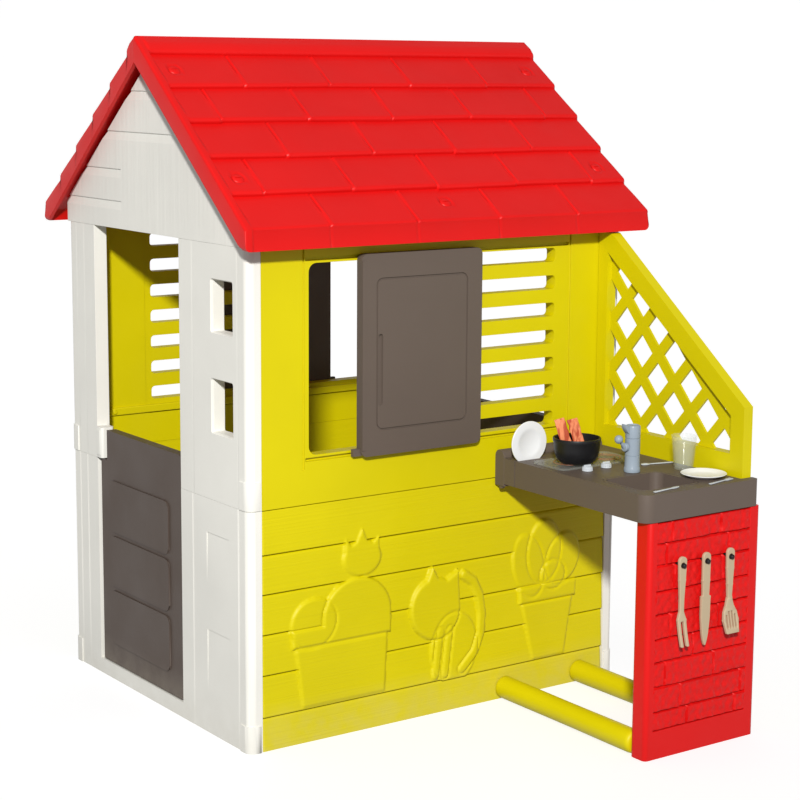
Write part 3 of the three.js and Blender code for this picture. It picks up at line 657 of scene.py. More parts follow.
def board_depth(z):
    """How far the lapped boards lie behind the wall's outer plane."""
    edges = [0, *BOARD_LINES, SEAM]
    depth = np.zeros(z.shape)
    for low, high in zip(edges, edges[1:]):
        here = (z >= low) & (z <= high)
        depth = np.where(here, BOARD_LAP * (z - low) / (high - low), depth)
        depth = np.where(here, depth + nose(z - low, 1.6) * (low > 0), depth)
        shadow = LAP_GROOVE * np.exp(-((high - z) / 3.0) ** 2) * (high < SEAM)
        depth = np.where(here, depth + shadow, depth)
    return depth


def plant_pot(u, v, rim, foot, heights):
    """A tapered pot with a rim band; rim and foot are its left and right edges."""
    (r0, r1), (f0, f1), (low, neck, top) = rim, foot, heights
    body = polygon(u, v, [(f0, low), (f1, low), (r1 - 8, neck + 2), (r0 + 8, neck + 2)])
    band = polygon(u, v, [(r0 + 2, neck), (r1 - 2, neck), (r1, top), (r0, top)])
    return body, band


def raised(distance, height, edge=6):
    """Height of a cushion-edged raised shape."""
    t = np.clip(distance / edge, 0, 1)
    return height * np.sqrt(1 - (1 - t) ** 2)


def garden_relief(u, v):
    """Raised pot plants and a sitting cat, as (height, whether the boards are hidden)."""
    layers = []
    body, band = plant_pot(u, v, (87, 306), (110, 292), (66, 178, 214))
    lobe = disc(u, v, (134, 222), (50, 46), 28)
    bush = np.maximum(np.minimum(disc(u, v, (229, 222), (76, 72)), v - 180), band)
    layers += [(bush, 6.5), (lobe, 4.5), (body, 5.0)]
    crown = polygon(u, v, [(200, 326), (202, 372), (220, 352), (240, 386), (256, 352), (278, 368),
                           (280, 326)])
    layers += [(np.maximum(disc(u, v, (240, 328), (43, 34)), crown), 5.0)]
    body, band = plant_pot(u, v, (606, 752), (642, 724), (64, 180, 216))
    leaves = [disc(u, v, (630, 258), (38, 66), 12), disc(u, v, (668, 282), (42, 64), -6),
              disc(u, v, (716, 262), (42, 54), -24)]
    layers += [(leaf, height) for leaf, height in zip(leaves, (4.0, 5.0, 6.0))]
    layers += [(disc(u, v, (690, 232), (32, 30)), 7.5), (body, 4.5), (band, 6.5)]
    haunch = np.minimum(disc(u, v, (452, 122), (56, 72)), v - 60)
    tail = stroke(u, v, [(474, 262), (496, 246), (511, 216), (517, 180), (514, 142), (500, 106),
                         (470, 78)], 10)
    legs = [stroke(u, v, [(x + 10, 160), (x, 74)], 9) for x in (408, 430)]
    head = disc(u, v, (406, 206), (58, 62), 24)
    ears = [polygon(u, v, [(372, 236), (424, 246), (398, 292)]),
            polygon(u, v, [(416, 252), (464, 210), (460, 276)])]
    layers += [(haunch, 4.5), (tail, 6.5)] + [(leg, 6) for leg in legs]
    layers += [(np.maximum(head, np.maximum(*ears)), 7.5)]
    height = np.full(u.shape, -1e3)
    for distance, top in layers:
        height = np.where(distance > 0, np.maximum(height, raised(distance, top)), height)
    crease = np.zeros(u.shape)
    for distance, top in layers:
        crease = np.maximum(crease, np.exp(-(distance / 2.0) ** 2) * (height > raised(distance, top)))
    return height, crease


def lower_wall():
    steps = [h + d for h in BOARD_LINES for d in (-4.5, -3, -1.8, -0.8, -0.01, 0.01, 0.5, 1.2, 2.0)]
    x, z = np.meshgrid(lines(*WALL_SPAN, 2.6), lines(0, SEAM, 2.6, steps), indexing="ij")
    depth = board_depth(z) - 0.25 * ripple(x, z, 5, 210) * ramp(x, 30, 60) * ramp(-x, -820, -790)
    height, crease = garden_relief(x, z)
    blend = ramp(height, 0, 3)
    over = np.where(height > 0, np.maximum(-depth, (1 - blend) * -depth + blend * (height - 2)), -depth)
    edge = np.minimum(np.minimum(x - WALL_SPAN[0], WALL_SPAN[1] - x), SEAM - z)
    over = over - nose(edge, 2.2) - 2.2 * crease
    front = np.stack([x, -over, z], -1)
    inner = sum(2.2 * np.exp(-((z - line) / 1.6) ** 2) for line in BOARD_LINES)
    back = np.stack([x, WALL_THICKNESS - inner, z], -1)
    return smooth(grid_solid(front, back), 50)


WINDOW = Sizes(across=(125, 393), up=(532, 876), corner=16)
SLATS = Sizes(across=(430, 685), top=877, pitch=52.8, gap=26.5, count=7, corner=8)
TRACK = Sizes(across=(118, 718), depth=7, heights=((521, 527.6), (880, 886.6)))
POST_LINES = (114, 722)  # upright grooves outside the window and the slats
INNER_RECESSES = ((104, 412), (418, 700))  # shallow recesses round both on the inside


def upper_wall():
    wall = prism(rectangle(WALL_SPAN, (SEAM + GAP, WALL_TOP)), Y_AXIS, 0, WALL_THICKNESS)
    through = (-20, WALL_THICKNESS + 20)
    openings = [slab(Y_AXIS, WINDOW.across, WINDOW.up, WINDOW.corner, *through)]
    for i in range(SLATS.count):
        top = SLATS.top - i * SLATS.pitch
        up = (top - SLATS.gap, top)
        openings.append(slab(Y_AXIS, SLATS.across, up, SLATS.corner, *through, 4))
    tracks = [box(TRACK.across, (-5, TRACK.depth), up) for up in TRACK.heights]
    posts = [box((x - 2, x + 2), (-5, 3.4), (506, 960)) for x in POST_LINES]
    recesses = [slab(Y_AXIS, across, (SEAM + 62, 892), 10, WALL_THICKNESS - 3, 60)
                for across in INNER_RECESSES]
    for tools in (openings, tracks, posts, recesses):
        wall = cut(wall, *tools)
    return soft_edges(wall, 2.2)


def sill_strip():
    """The strip along the inside of the wall over the seam, with its two screws."""
    inside = WALL_THICKNESS + 6
    strip = box((60, 792), (WALL_THICKNESS - 1, inside), (508, 523))
    heads = [turned([(0, 0), (5, 0), (5, 1.6), (3.6, 3), (0, 3)], (x, inside, 515.5), 20, "Y")
             for x in (78, 774)]
    return merged(soft_edges(strip, 1.6, 2), *heads)


SHUTTER = Sizes(across=(226, 495), up=(520, 888), back=-1.5, face=-18, corner=12)
PANEL_LINE = Sizes(width=3.6, depth=2.8)  # the groove round the shutter's panel
GRIP = Sizes(across=(262, 272), up=(612, 742), depth=5)


def ring_tool(across, up, corner, line, run, low, high):
    """A ring for cutting a groove: a rounded rectangle less the same one a line's width further in."""
    inner = [(ends[0] + line, ends[1] - line) for ends in (across, up)]
    return cut(slab(run, across, up, corner, low, high),
               slab(run, *inner, corner - line, low - 1, high + 1))


def shutter():
    face, back = SHUTTER.face, SHUTTER.back
    left, right = SHUTTER.across
    leaf = slab(Y_AXIS, SHUTTER.across, SHUTTER.up, SHUTTER.corner, face, back)
    ribs = [box((left + 12, right - 12), (back - 1, TRACK.depth - 1), (low + 1, high - 1))
            for low, high in TRACK.heights]
    tab = box((212, 230), (-12, -4), (522, 535))
    lip = box((left + 0.5, left + 7), (face - 2, face + 2), (532, 876))
    leaf = joined(leaf, *ribs, tab, lip)
    panel = ring_tool((257, 462), (566, 844), 14, PANEL_LINE.width, Y_AXIS, face - 5,
                      face + PANEL_LINE.depth)
    grip = slab(Y_AXIS, GRIP.across, GRIP.up, 4, face - 5, face + GRIP.depth)
    return soft_edges(cut(cut(leaf, panel), grip), 1.1, 2)


def make_walls():
    both_sets("{}_wall_lower", lower_wall(), LIME_BOARDS)
    both_sets("{}_wall_upper", upper_wall(), LIME_SHELL)
    for side in ("front", "back"):
        place(side + "_wall_sill_strip", sill_strip(), LIME_SHELL, second=side == "back")
    both_sets("{}_shutter", shutter(), TAUPE_SHELL, "{}_shutter")


# ---- Gables ----

GABLE_THICKNESS = 41
GABLE_PANEL = 27  # thickness beside the doorway, over the lower frame
DOORWAY = Sizes(near=245, far=589, sill=30, top=907)
PEEPHOLES = Sizes(across=(53, 127), heights=((568, 664), (750, 843)), corner=3)
COLUMN = 30  # width of the rounded corner column
COLUMN_RADIUS = 14
CREASES = (COLUMN + 5, 634, DEPTH - COLUMN - 5)  # upright creases, besides one beside the door
RECESSES = ((285, 380), (80, 197))


def in_plan(points, low, high, far=False):
    """An upright prism at the near corner, or turned over for the far one."""
    return prism([(x, DEPTH - y) for x, y in points] if far else points, Z_AXIS, low, high)


def corner_step(far=False):
    """The rebate where a window wall stands, and the space past it."""
    across, along = (WALL_SEAT, GABLE_THICKNESS + 9), (-10, WALL_THICKNESS + GAP)
    return in_plan(rectangle(across, along), -10, RIDGE, far)


def corner_round(far=False):
    """Takes the gable's outer corner off to a radius."""
    r = COLUMN_RADIUS
    points = [(-9, -9), (r, -9)] + arc((r, r), r, 270, 180) + [(-9, r)]
    return in_plan(points, -10, RIDGE, far)


def collar(heights, far=False):
    """A raised band round the corner column."""
    r, proud = COLUMN_RADIUS, 2.2
    points = arc((r, r), r + proud, 270, 180) + [(-proud, COLUMN), (4, COLUMN), (4, 6), (23, 6), (23, -proud)]
    return in_plan(points, *heights, far)


def crease(y, low, high, half=3, depth=0.8):
    """A shallow upright crease, run past both ends of the panel."""
    section = [(-5, y - half), (0, y - half), (depth, y), (0, y + half), (-5, y + half)]
    return prism(section, Z_AXIS, low, high)


def gable_lower():
    near, far, sill = DOORWAY.near, DOORWAY.far, DOORWAY.sill
    outline = [(0, 0), (DEPTH, 0), (DEPTH, SEAM), (far, SEAM), (far, sill), (near, sill),
               (near, SEAM), (0, SEAM)]
    lower = prism(outline, X_AXIS, 0, GABLE_THICKNESS)
    lower = cut(lower, corner_step(), corner_step(True))
    lower = cut(lower, corner_round(), corner_round(True))
    lower = cut(lower, *[crease(y, -5, SEAM + 5) for y in (CREASES[0], 200, *CREASES[1:])])
    lower = joined(lower, collar((0, 50)), collar((0, 50), True))
    recesses = [prism([(-5, low), (0, low), (1.6, high), (-5, high)], Y_AXIS, 70, 150)
                for low, high in RECESSES]
    return soft_edges(cut(lower, *recesses), 1.6)


def peephole_reveal(up):
    """A splayed opening, wider outside."""
    (y0, y1), (z0, z1) = PEEPHOLES.across, up
    bm = bmesh.new()
    rings = []
    for depth, grow in ((-3, 3), (0.4, 2.2), (5, 0), (GABLE_PANEL + 9, 0)):
        outline = rounded((y0 - grow, y1 + grow), (z0 - grow, z1 + grow), PEEPHOLES.corner + grow, 4)
        rings.append([bm.verts.new((depth, u, v)) for u, v in outline])
    bm.faces.new(rings[0])
    bm.faces.new(rings[-1])
    stitch(bm, rings)
    return to_mesh(bm)


def gable_post(across, creases, rounding, peepholes=(), far=False):
    """The gable's wall on one side of the doorway, over the lower frame."""
    post = prism(rectangle(across, (SEAM + GAP, DOORWAY.top)), X_AXIS, 0, GABLE_PANEL)
    post = joined(cut(post, corner_round(far)), collar((SEAM + 1, 495), far))
    for up in peepholes:
        post = cut(post, peephole_reveal(up))
    post = cut(post, *[crease(y, SEAM - 5, 930) for y in creases])
    return soft_edges(post, rounding)


TOP_BOARD_EDGES = (  # each board edge's height and both ends
    (959, 470, 710), (1020, 470, 680), (1020, -5, 70), (1092, -5, 620), (1169, 180, 520),
    (1224, 350, 420))


def gable_top():
    """The boarded triangle under the roof."""
    edge, clearance = -3, 1

    def under(y):
        return RIDGE - (HALF_DEPTH - y) * math.tan(PITCH) - ROOF_SKIN / math.cos(PITCH) - clearance

    foot = DOORWAY.top + GAP
    outline = [(edge, foot), (DEPTH - edge, foot), (DEPTH - edge, under(edge)),
               (HALF_DEPTH, under(HALF_DEPTH) - 17), (edge, under(edge))]
    top = prism(outline, X_AXIS, 0, GABLE_THICKNESS)
    top = cut(top, corner_step(), corner_step(True))
    tools = [prism([(-1, z - 16), (0, z - 16), (2.8, z), (-1, z + 1.8)], Y_AXIS, near, far)
             for z, near, far in TOP_BOARD_EDGES]
    return soft_edges(cut(top, *tools), 1.4)


# ---- Half door ----

DOOR = Sizes(face=2, thickness=20, near=248, foot=33, top=504, corner=10)
DOOR_PIVOT = (12, 575)
HINGE_NOTCH = Sizes(near=552, foot=444)
DOOR_PANELS = Sizes(across=(296, 540), heights=((75, 184), (193, 295), (304, 407)), corner=16)
PIN = Sizes(radius=4, length=12)


def half_door():
    face, inside = DOOR.face, DOOR.face + DOOR.thickness
    foot, hinge = DOOR.foot, DOOR_PIVOT[1]
    leaf = slab(X_AXIS, (DOOR.near, hinge + 22), (foot, DOOR.top), DOOR.corner, face, inside)
    leaf = cut(leaf, box((0, 60), (hinge, 640), (0, 640)))
    leaf = cut(leaf, box((0, 60), (HINGE_NOTCH.near, 640), (HINGE_NOTCH.foot, 640)))
    barrel = cylinder(DOOR_PIVOT, 10, foot, HINGE_NOTCH.foot, 32)
    pin = cylinder(DOOR_PIVOT, PIN.radius, DOORWAY.sill - PIN.length, foot + 2, 16)
    leaf = joined(leaf, barrel, pin)
    for up in DOOR_PANELS.heights:
        panel = slab(X_AXIS, DOOR_PANELS.across, up, DOOR_PANELS.corner, face - 3, inside + 2)
        leaf = joined(leaf, panel)
    return soft_edges(leaf, 1.5)


def hinge_bracket():
    foot, far = HINGE_NOTCH.foot + 2, DOORWAY.far
    cap = slab(Z_AXIS, (-4, 24), (563, far - GAP), 6, foot, 507)
    lip = slab(Z_AXIS, (-5.2, 14), (566, far - 3), 5, foot + 6, 501)
    pin = cylinder(DOOR_PIVOT, PIN.radius, foot - PIN.length, foot + 2, 16)
    return soft_edges(joined(cap, lip, pin), 1.3)


def make_gables():
    both_sets("{}_gable_lower_frame", gable_lower(), WHITE_SHELL)
    upper = gable_post((0, DOORWAY.near), (CREASES[0], 196), 1.5, PEEPHOLES.heights)
    both_sets("{}_gable_upper_panel", upper, WHITE_SHELL)
    both_sets("{}_gable_upper_jamb", gable_post((DOORWAY.far, DEPTH), CREASES[1:], 1.6, far=True),
              WHITE_SHELL)
    both_sets("{}_gable_top", gable_top(), WHITE_BOARDS)
    both_sets("{}_gable_half_door", half_door(), DOOR_SHELL, "{}_gable_half_door")
    both_sets("{}_gable_hinge_bracket", hinge_bracket(), WHITE_SHELL)


# ---- Kitchen ----

COUNTER = Sizes(left=545, right=790, lip_right=818, front=-428, foot=435, top=485,
                corner=22)
BACK_BLOCK = Sizes(depth=28, foot=430, top=500)
SINK = Sizes(across=(572, 705), along=(-392, -280), floor=452, corner=18)
DRAIN = (sum(SINK.across) / 2, sum(SINK.along) / 2)
PLATE_SLOT = Sizes(across=(546, 622), along=(-64, -56), floor=474)
HOB = Sizes(across=(558, 742), along=(-186, -92), thickness=4, corner=14)
TRELLIS_OUTER_EDGE = corner_box("trellis")[1][0]
TAP = Sizes(place=(665, -256), radius=14, height=88, bore=8)
LEVER_HEIGHT = COUNTER.top + 48
KNOBS = {"hob_knob_left": (602, -204), "hob_knob_right": (651, -200)}


def sink_outline(grow):
    """The sink's sides and corner radius, grown by a margin."""
    sides = [(ends[0] - grow, ends[1] + grow) for ends in (SINK.across, SINK.along)]
    return (*sides, SINK.corner + grow)


def counter():
    left, right, lip_right = COUNTER.left, COUNTER.right, COUNTER.lip_right
    front, corner, foot, top = COUNTER.front, COUNTER.corner, COUNTER.foot, COUNTER.top
    behind, lip = -BACK_BLOCK.depth - GAP, TRELLIS_OUTER_EDGE - GAP
    outline = [(left, behind)] + arc((left + corner, front + corner), corner, 180, 270, 10)
    outline += arc((lip_right - 6, front + 6), 6, 270, 360, 4)
    outline += [(lip_right, lip), (right, lip), (right, behind)]
    body = prism(outline, Z_AXIS, foot, top)
    body = cut(body, slab(Z_AXIS, *sink_outline(0), SINK.floor, top + 9))
    body = cut(body, box(PLATE_SLOT.across, PLATE_SLOT.along, (PLATE_SLOT.floor, top + 9)))
    bores = [cylinder(TAP.place, TAP.bore, top - 14, top + 5, 24)]
    bores += [cylinder(spot, 3.8, top - 10, top + 5, 16) for spot in KNOBS.values()]
    body = cut(body, *bores)
    rim = cut(slab(Z_AXIS, *sink_outline(7), top - 0.9, top + 5),
              slab(Z_AXIS, *sink_outline(5), top - 3, top + 9))
    seam = box((left - 4, left + 1.2), (-62, -59.5), (foot - 5, top + 2))
    for tool in (rim, seam, cylinder(DRAIN, 12, SINK.floor - 2, SINK.floor + 3, 32)):
        body = cut(body, tool)
    return soft_edges(body, 3.2, 4)


def drain():
    """A ring with cross bars in the sink's floor."""
    (x, y), low = DRAIN, SINK.floor - 1.8
    profile = [(0, low), (11.6, low), (11.6, low + 2.2), (8.4, low + 2.2), (8.4, low + 0.8), (0, low + 0.8)]
    bars = [box((x - u, x + u), (y - v, y + v), (low + 0.4, low + 2)) for u, v in ((9, 1), (1, 9))]
    return soft_edges(joined(turned(profile, (x, y, 0), 32), *bars), 0.35, 2)


def back_block():
    """The round-topped block between the counter and the wall, with a hook at its end."""
    left, foot, top = COUNTER.left, BACK_BLOCK.foot, BACK_BLOCK.top
    half = BACK_BLOCK.depth / 2
    outline = [(-GAP, foot)] + arc((-half, top - half), half - GAP, 0, 180, 14) + [(-2 * half, foot)]
    block = prism(outline, X_AXIS, left, COUNTER.right)
    hook = prism(arc((-16, foot - 1), 5, 0, 360, 16)[:-1], X_AXIS, left + 1.5, left + 9)
    return soft_edges(joined(block, hook), 1.8)


ON_COUNTER = COUNTER.top + GAP
HOB_TOP = ON_COUNTER + HOB.thickness
HOB_RINGS = Sizes(places=((612, -140), (700, -140)), radii=(30, 20), width=1.6, height=0.5)


def hob_plate():
    plate = slab(Z_AXIS, HOB.across, HOB.along, HOB.corner, ON_COUNTER, HOB_TOP)
    return soft_edges(plate, 0.8)


def hob_rings():
    """Fine raised rings that mark the two cooking places."""
    high, width = HOB_TOP + HOB_RINGS.height, HOB_RINGS.width
    bands = []
    for spot in HOB_RINGS.places:
        for outer in HOB_RINGS.radii:
            profile = [(outer - width, HOB_TOP), (outer, HOB_TOP), (outer - 0.2, high),
                       (outer - width + 0.2, high)]
            bands.append(turned(profile, (*spot, 0), 64))
    return smooth(merged(*bands), 30)


def hob_knob(spot):
    """A turned cap with a finger bar and a ring of fine grip flutes."""
    x, y = spot
    foot = ON_COUNTER + GAP
    high = foot + 11
    cap = turned([(0, foot - 8), (3, foot - 8), (3, foot), (10, foot), (10, foot + 2), (9.4, high - 4),
                  (8.6, high - 3), (0, high - 3)], (x, y, 0), 40)
    bar = slab(Z_AXIS, (x - 8, x + 8), (y - 2, y + 2), 1.8, high - 5, high)
    around = [math.tau * i / 16 for i in range(16)]
    flutes = [cylinder((x + 10 * math.cos(a), y + 10 * math.sin(a)), 0.8, foot + 2, high + 1, 8)
              for a in around]
    return soft_edges(cut(joined(cap, bar), *flutes), 0.5, 2)


def tap_post():
    """A turned post with a small beak and a hollow for the lever's hub."""
    x, y = TAP.place
    r, foot = TAP.radius, ON_COUNTER + GAP
    top = foot + TAP.height
    rings = [(r, foot + 10), (r, foot + 30), (r - 0.8, foot + 30.8), (r, foot + 31.6), (r, foot + 62),
             (r - 1.2, foot + 63), (r, foot + 64)]
    base = [(0, foot - 12), (7, foot - 12), (7, foot), (r + 1, foot), (r + 1.4, foot + 1.5),
            (r + 1, foot + 8)]
    crown = [(r, top - 4), (r - 1, top - 1.6), (r - 3, top - 0.6), (r - 4, top - 2.4), (0, top - 2.4)]
    body = smooth(turned(base + rings + crown, (x, y, 0)), 30)
    edge = x - r
    beak = prism([(edge + 4, top - 20), (edge + 4, top - 2), (edge - 4, top - 1), (edge - 8, top + 2.6),
                  (edge - 8.5, top - 3), (edge - 4, top - 11)], Y_AXIS, y - 6, y + 6)
    hollow = turned([(0, -r - 4), (5.8, -r - 4), (5.8, -r + 9), (0, -r + 9)], (x, y, LEVER_HEIGHT), 24, "X")
    return soft_edges(cut(joined(body, beak), hollow), 0.6, 2, 35)


def tap_lever():
    """A hub that turns in the post, and a leaning arm with a ball end."""
    (x, y), r, lean = TAP.place, TAP.radius, 0.75
    hub = turned([(0, -r - 8), (6.4, -r - 8), (8, -r - 6.6), (8, -r - 1.2), (5, -r - 1), (5, -r + 8),
                  (0, -r + 8)], (x, y, LEVER_HEIGHT), 32, "X")
    around = np.linspace(-math.pi / 2, math.pi / 2, 11)[3:-1]
    ball = [(8 * math.cos(a), 22 + 8 * math.sin(a)) for a in around]
    arm = turned([(0, 0), (4.4, 0), (3.2, 12), (3.4, 15)] + ball + [(0, 30)], sides=28)
    arm = moved(arm, (x - r - 5, y, LEVER_HEIGHT), Matrix.Rotation(-lean, 4, "Y"))
    return smooth(joined(hub, arm))


BRICK = Sizes(across=(559, 828), depth=(-426, -386), top=434, edge=9)
BRICK_FIELD = Sizes(across=(577, 803), up=(52, 433))
COURSES = (52, 87, 132, 178, 220, 265, 307, 354, 394, 433)  # mortar lines, from the foot
FIRST_JOINTS = (0.70, 0.42, 0.22, 0.62, 0.30, 0.78, 0.36, 0.16, 0.30)
PEGS = {"fork": 629, "knife": 687, "spatula": 746}
PEG_HEIGHT = 352


def brick_panel():
    """A thin shell, open at its foot, with a sunk field for the bricks."""
    (left, right), (face, back), top = BRICK.across, BRICK.depth, BRICK.top
    panel = slab(Z_AXIS, BRICK.across, BRICK.depth, BRICK.edge, 0, top, 8)
    field = box(BRICK_FIELD.across, (face - 14, face + 8), (BRICK_FIELD.up[0], top + 6))
    cavity = box((left + 8, right - 8), (face + 9, back + 6), (-9, top - 12))
    return soft_edges(cut(cut(panel, field), cavity), 2.4)


def stone_face():
    """Rough bricks in courses, with joints that don't line up."""
    (x0, x1), (z0, z1) = BRICK_FIELD.across, BRICK_FIELD.up
    x, z = np.meshgrid(lines(x0 - 0.5, x1 + 0.5, 1.5), lines(z0 - 0.5, z1 + 0.5, 1.5), indexing="ij")
    rng = random.Random(4)
    wobble = 0.5 * ripple(x, z, 21, 60)
    height = np.full(x.shape, -7.0)
    for course, (low, high) in enumerate(zip(COURSES, COURSES[1:])):
        length = 150 if course % 2 else 118
        for number in range(-1, 4):
            lift, tilt_u, tilt_v = (rng.uniform(-0.5, 0.5) for _ in range(3))
            start = x0 + FIRST_JOINTS[course] * length + number * length
            end = start + length
            from_left = np.where((start < x0) & (x > x0), np.inf, x - start)
            inset = np.minimum(np.minimum(from_left, end - x), np.minimum(z - low, high - z)) + wobble
            rise = 6.0 * ramp(inset, 0.8, 2.4) + lift + tilt_u * (x - start) / length
            rise = rise + tilt_v * (z - low) / (high - low)
            height = np.where((inset > 0) & (x >= start) & (x < end), np.maximum(height, -7 + rise), height)
    rough = 0.8 * ripple(x, z, 31, 24) + 0.7 * ripple(x, z, 32, 12) + 0.3 * ripple(x, z, 33, 6)
    height = height + rough * ramp(height, -6, -3)
    front = np.stack([x, BRICK.depth[0] - height - 0.6, z], -1)
    back = np.stack([x, np.full(x.shape, BRICK.depth[0] + 8.6), z], -1)
    return smooth(grid_solid(front, back), 60)


TUBES = Sizes(radius=22, across=(575, 762), end=-385.5)


def floor_tube(x):
    """A tube from the wall to the brick panel, a little thinner in the middle."""
    r, length = TUBES.radius, -GAP - TUBES.end
    profile = [(0, 0), (r - 0.6, 0), (r, 0.8)] + [
        (r - 0.25 * (1 - math.cos(math.tau * i / 10)), 6 + (length - 16) * i / 10) for i in range(11)]
    profile += [(r - 0.8, length - 5), (r - 3, length - 1.6), (r - 6, length), (0, length)]
    return smooth(turned([(radius, -GAP - along) for radius, along in profile], (x, 0, r), 48, "Y"), 40)


def cad_copy(node):
    """A CAD node's own mesh in the corner frame."""
    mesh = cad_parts[node].data.copy()
    mesh.transform(set_matrix(False).inverted())
    return mesh


PEG_TIP = -444
UTENSIL = Sizes(back=-432, face=-438, top=368, crown=9, eye=5.2, bend=62, reach=11.5)
HALF_WIDTHS = {  # from the foot upwards, each a height and half the width there
    "fork": ((206, 9.4), (254, 9.8), (268, 4.8), (292, 5), (326, 7.4)),
    "knife": ((197, 1.5), (207, 5), (219, 7.4), (247, 10.5), (287, 11), (289, 7.5), (317, 8.5)),
    "spatula": ((212, 15), (236, 18.5), (250, 16), (260, 10), (278, 5.2), (302, 6.5), (332, 8.5)),
}
SLOTS = {  # each the middle, half the width, the foot and the top
    "fork": ((0, 3.5, 200, 250),),
    "knife": (),
    "spatula": ((-10, 2.1, 220.5, 245), (-3.4, 2.1, 220.5, 251.5), (3.4, 2.1, 220.5, 251.5),
                (10, 2.1, 220.5, 245)),
}


def sliced(mesh, heights):
    """Adds edges at some heights, so that the shape can bend."""
    bm = reopened(mesh)
    for z in heights:
        everything = bm.verts[:] + bm.edges[:] + bm.faces[:]
        bmesh.ops.bisect_plane(bm, geom=everything, plane_co=(0, 0, z), plane_no=(0, 0, 1))
    return to_mesh(bm)


def utensil(name):
    """A moulded hanging utensil: crowned handle, bent working end and an eye for its peg."""
    x, widths = PEGS[name], HALF_WIDTHS[name]
    crown, top, bend = UTENSIL.crown, UTENSIL.top, UTENSIL.bend
    face, back, foot = UTENSIL.face, UTENSIL.back, widths[0][0]
    outline = [(x + half, z) for z, half in widths] + arc((x, top - crown), crown, 0, 180, 14)
    outline += [(x - half, z) for z, half in reversed(widths)]
    body = prism(outline, Y_AXIS, face, back)
    body = cut(body, prism(arc((x, PEG_HEIGHT), UTENSIL.eye, 0, 360, 24)[:-1], Y_AXIS, face - 3, back + 3))
    slots = [slab(Y_AXIS, (x + mid - half, x + mid + half), (low, high), min(half, 2) * 0.9, face - 3,
                  back + 3, 3) for mid, half, low, high in SLOTS[name]]
    if slots:
        body = cut(body, *slots)
    body = sliced(body, [foot + 6 * i for i in range(1, 22)])
    if name != "knife":
        for vertex in body.vertices:
            below = max(0, foot + bend - vertex.co.z) / bend
            vertex.co.y -= UTENSIL.reach * below ** 1.6
    return rounded_edges(body, 1.1, 3, 40)


def peg(x):
    """A black peg through the utensil's eye, with a domed head."""
    inside = BRICK.depth[0] + 13
    around = np.linspace(math.pi / 2, 0, 6)[1:]
    dome = [(4.2 * math.cos(a), PEG_TIP + 2.4 * (1 - math.sin(a))) for a in around]
    profile = [(0, PEG_TIP)] + dome + [
        (4.6, UTENSIL.face - GAP), (3.5, UTENSIL.face - GAP), (3.5, UTENSIL.back + GAP),
        (3.5, inside), (0, inside)]
    return smooth(turned(profile, (x, 0, PEG_HEIGHT), 28, "Y"))


def make_kitchen():
    stand_in("counter", "_moulding", counter(), TAUPE_SHELL)
    place("sink_drain", drain(), SILVER)
    stand_in("counter_back_block", "_moulding", back_block(), TAUPE_SHELL)
    stand_in("hob_plate", "_moulding", hob_plate(), CLEAR)
    place("hob_ring_lines", hob_rings(), RING_PRINT)
    for name, spot in KNOBS.items():
        stand_in(name, "_cap", hob_knob(spot), SILVER, name)
    stand_in("tap_post", "_turned", tap_post(), GREY_TAP, "tap_post")
    stand_in("tap_lever", "_grip", tap_lever(), GREY_TAP, "tap_lever")
    stand_in("brick_panel", "_moulding", brick_panel(), RED_SHELL)
    place("brick_panel_stone", stone_face(), RED_STONE)
    stand_in("trellis", "_moulding", soft_edges(cad_copy("trellis"), 2), LIME_SHELL)
    for number, x in enumerate(TUBES.across, 1):
        stand_in("floor_tube_%d" % number, "_moulding", floor_tube(x), LIME_SHELL)
    for name, x in PEGS.items():
        stand_in(name + "_peg", "_head", peg(x), BLACK_POT)
        stand_in(name, "_moulding", utensil(name), BEIGE, name)


# ---- Crockery ----

def pot():
    foot = HOB_TOP + GAP
    profile = [(0, 0), (26, 0), (30, 1), (36, 6), (40.6, 15), (43, 27), (43.6, 38), (44.8, 41), (45.4, 46),
               (44.6, 48), (42, 48), (41.4, 46), (40.6, 28), (37, 14), (31, 6), (24, 4), (0, 4)]
    return smooth(turned(profile, (621, -150, foot), 64))


def food_strip(node, seed):
    """A curved, ribbed strip of food inside its CAD solid."""
    mesh = tidy(cad_copy(node))
    mesh = with_modifiers(mesh, ("BEVEL", {"width": 1.6, "segments": 2, "limit_method": "ANGLE"}),
                          ("SUBSURF", {"levels": 3, "subdivision_type": "SIMPLE"}),
                          ("SMOOTH", {"iterations": 4, "factor": 0.5}))
    for vertex in mesh.vertices:
        z = vertex.co.z
        vertex.co.y += 0.9 * math.sin(z * 0.42 + seed) + 0.5 * math.sin(z * 1.1 + vertex.co.x * 0.5 + seed)
        vertex.co.x += 0.6 * math.sin(z * 0.31 + seed * 2)
    return smooth(mesh, 60)


def tumbler():
    profile = [(0, 0), (16.4, 0), (17.6, 0.8), (18.2, 4), (23.9, 63), (23.6, 64), (22.8, 64), (22.3, 63),
               (16.9, 5), (15.6, 3.2), (0, 3)]
    return smooth(turned(profile, (760, -292, ON_COUNTER), 64))


def flat_plate():
    profile = [(0, 0.6), (23, 0.6), (24, 0), (28.5, 0), (30, 1), (36.5, 4), (41.6, 6), (42, 6.8), (41.2, 7.4),
               (36.5, 5.8), (30, 3.4), (27.5, 2.4), (0, 2.4)]
    return smooth(turned(profile, (746, -360, ON_COUNTER), 72), 40)


def standing_plate():
    """A dished plate on edge in the counter's slot."""
    profile = [(0, -0.6), (22, -0.6), (24, -1.6), (30, -1.8), (40.9, -1.6), (41.5, -1), (41.5, 0.6),
               (40.5, 1.2), (30, 1.0), (26, 1.7), (24, 1.2), (0, 1.2)]
    return smooth(turned(profile, (579, -60, PLATE_SLOT.floor + 42.5), 72, "Y"), 40)


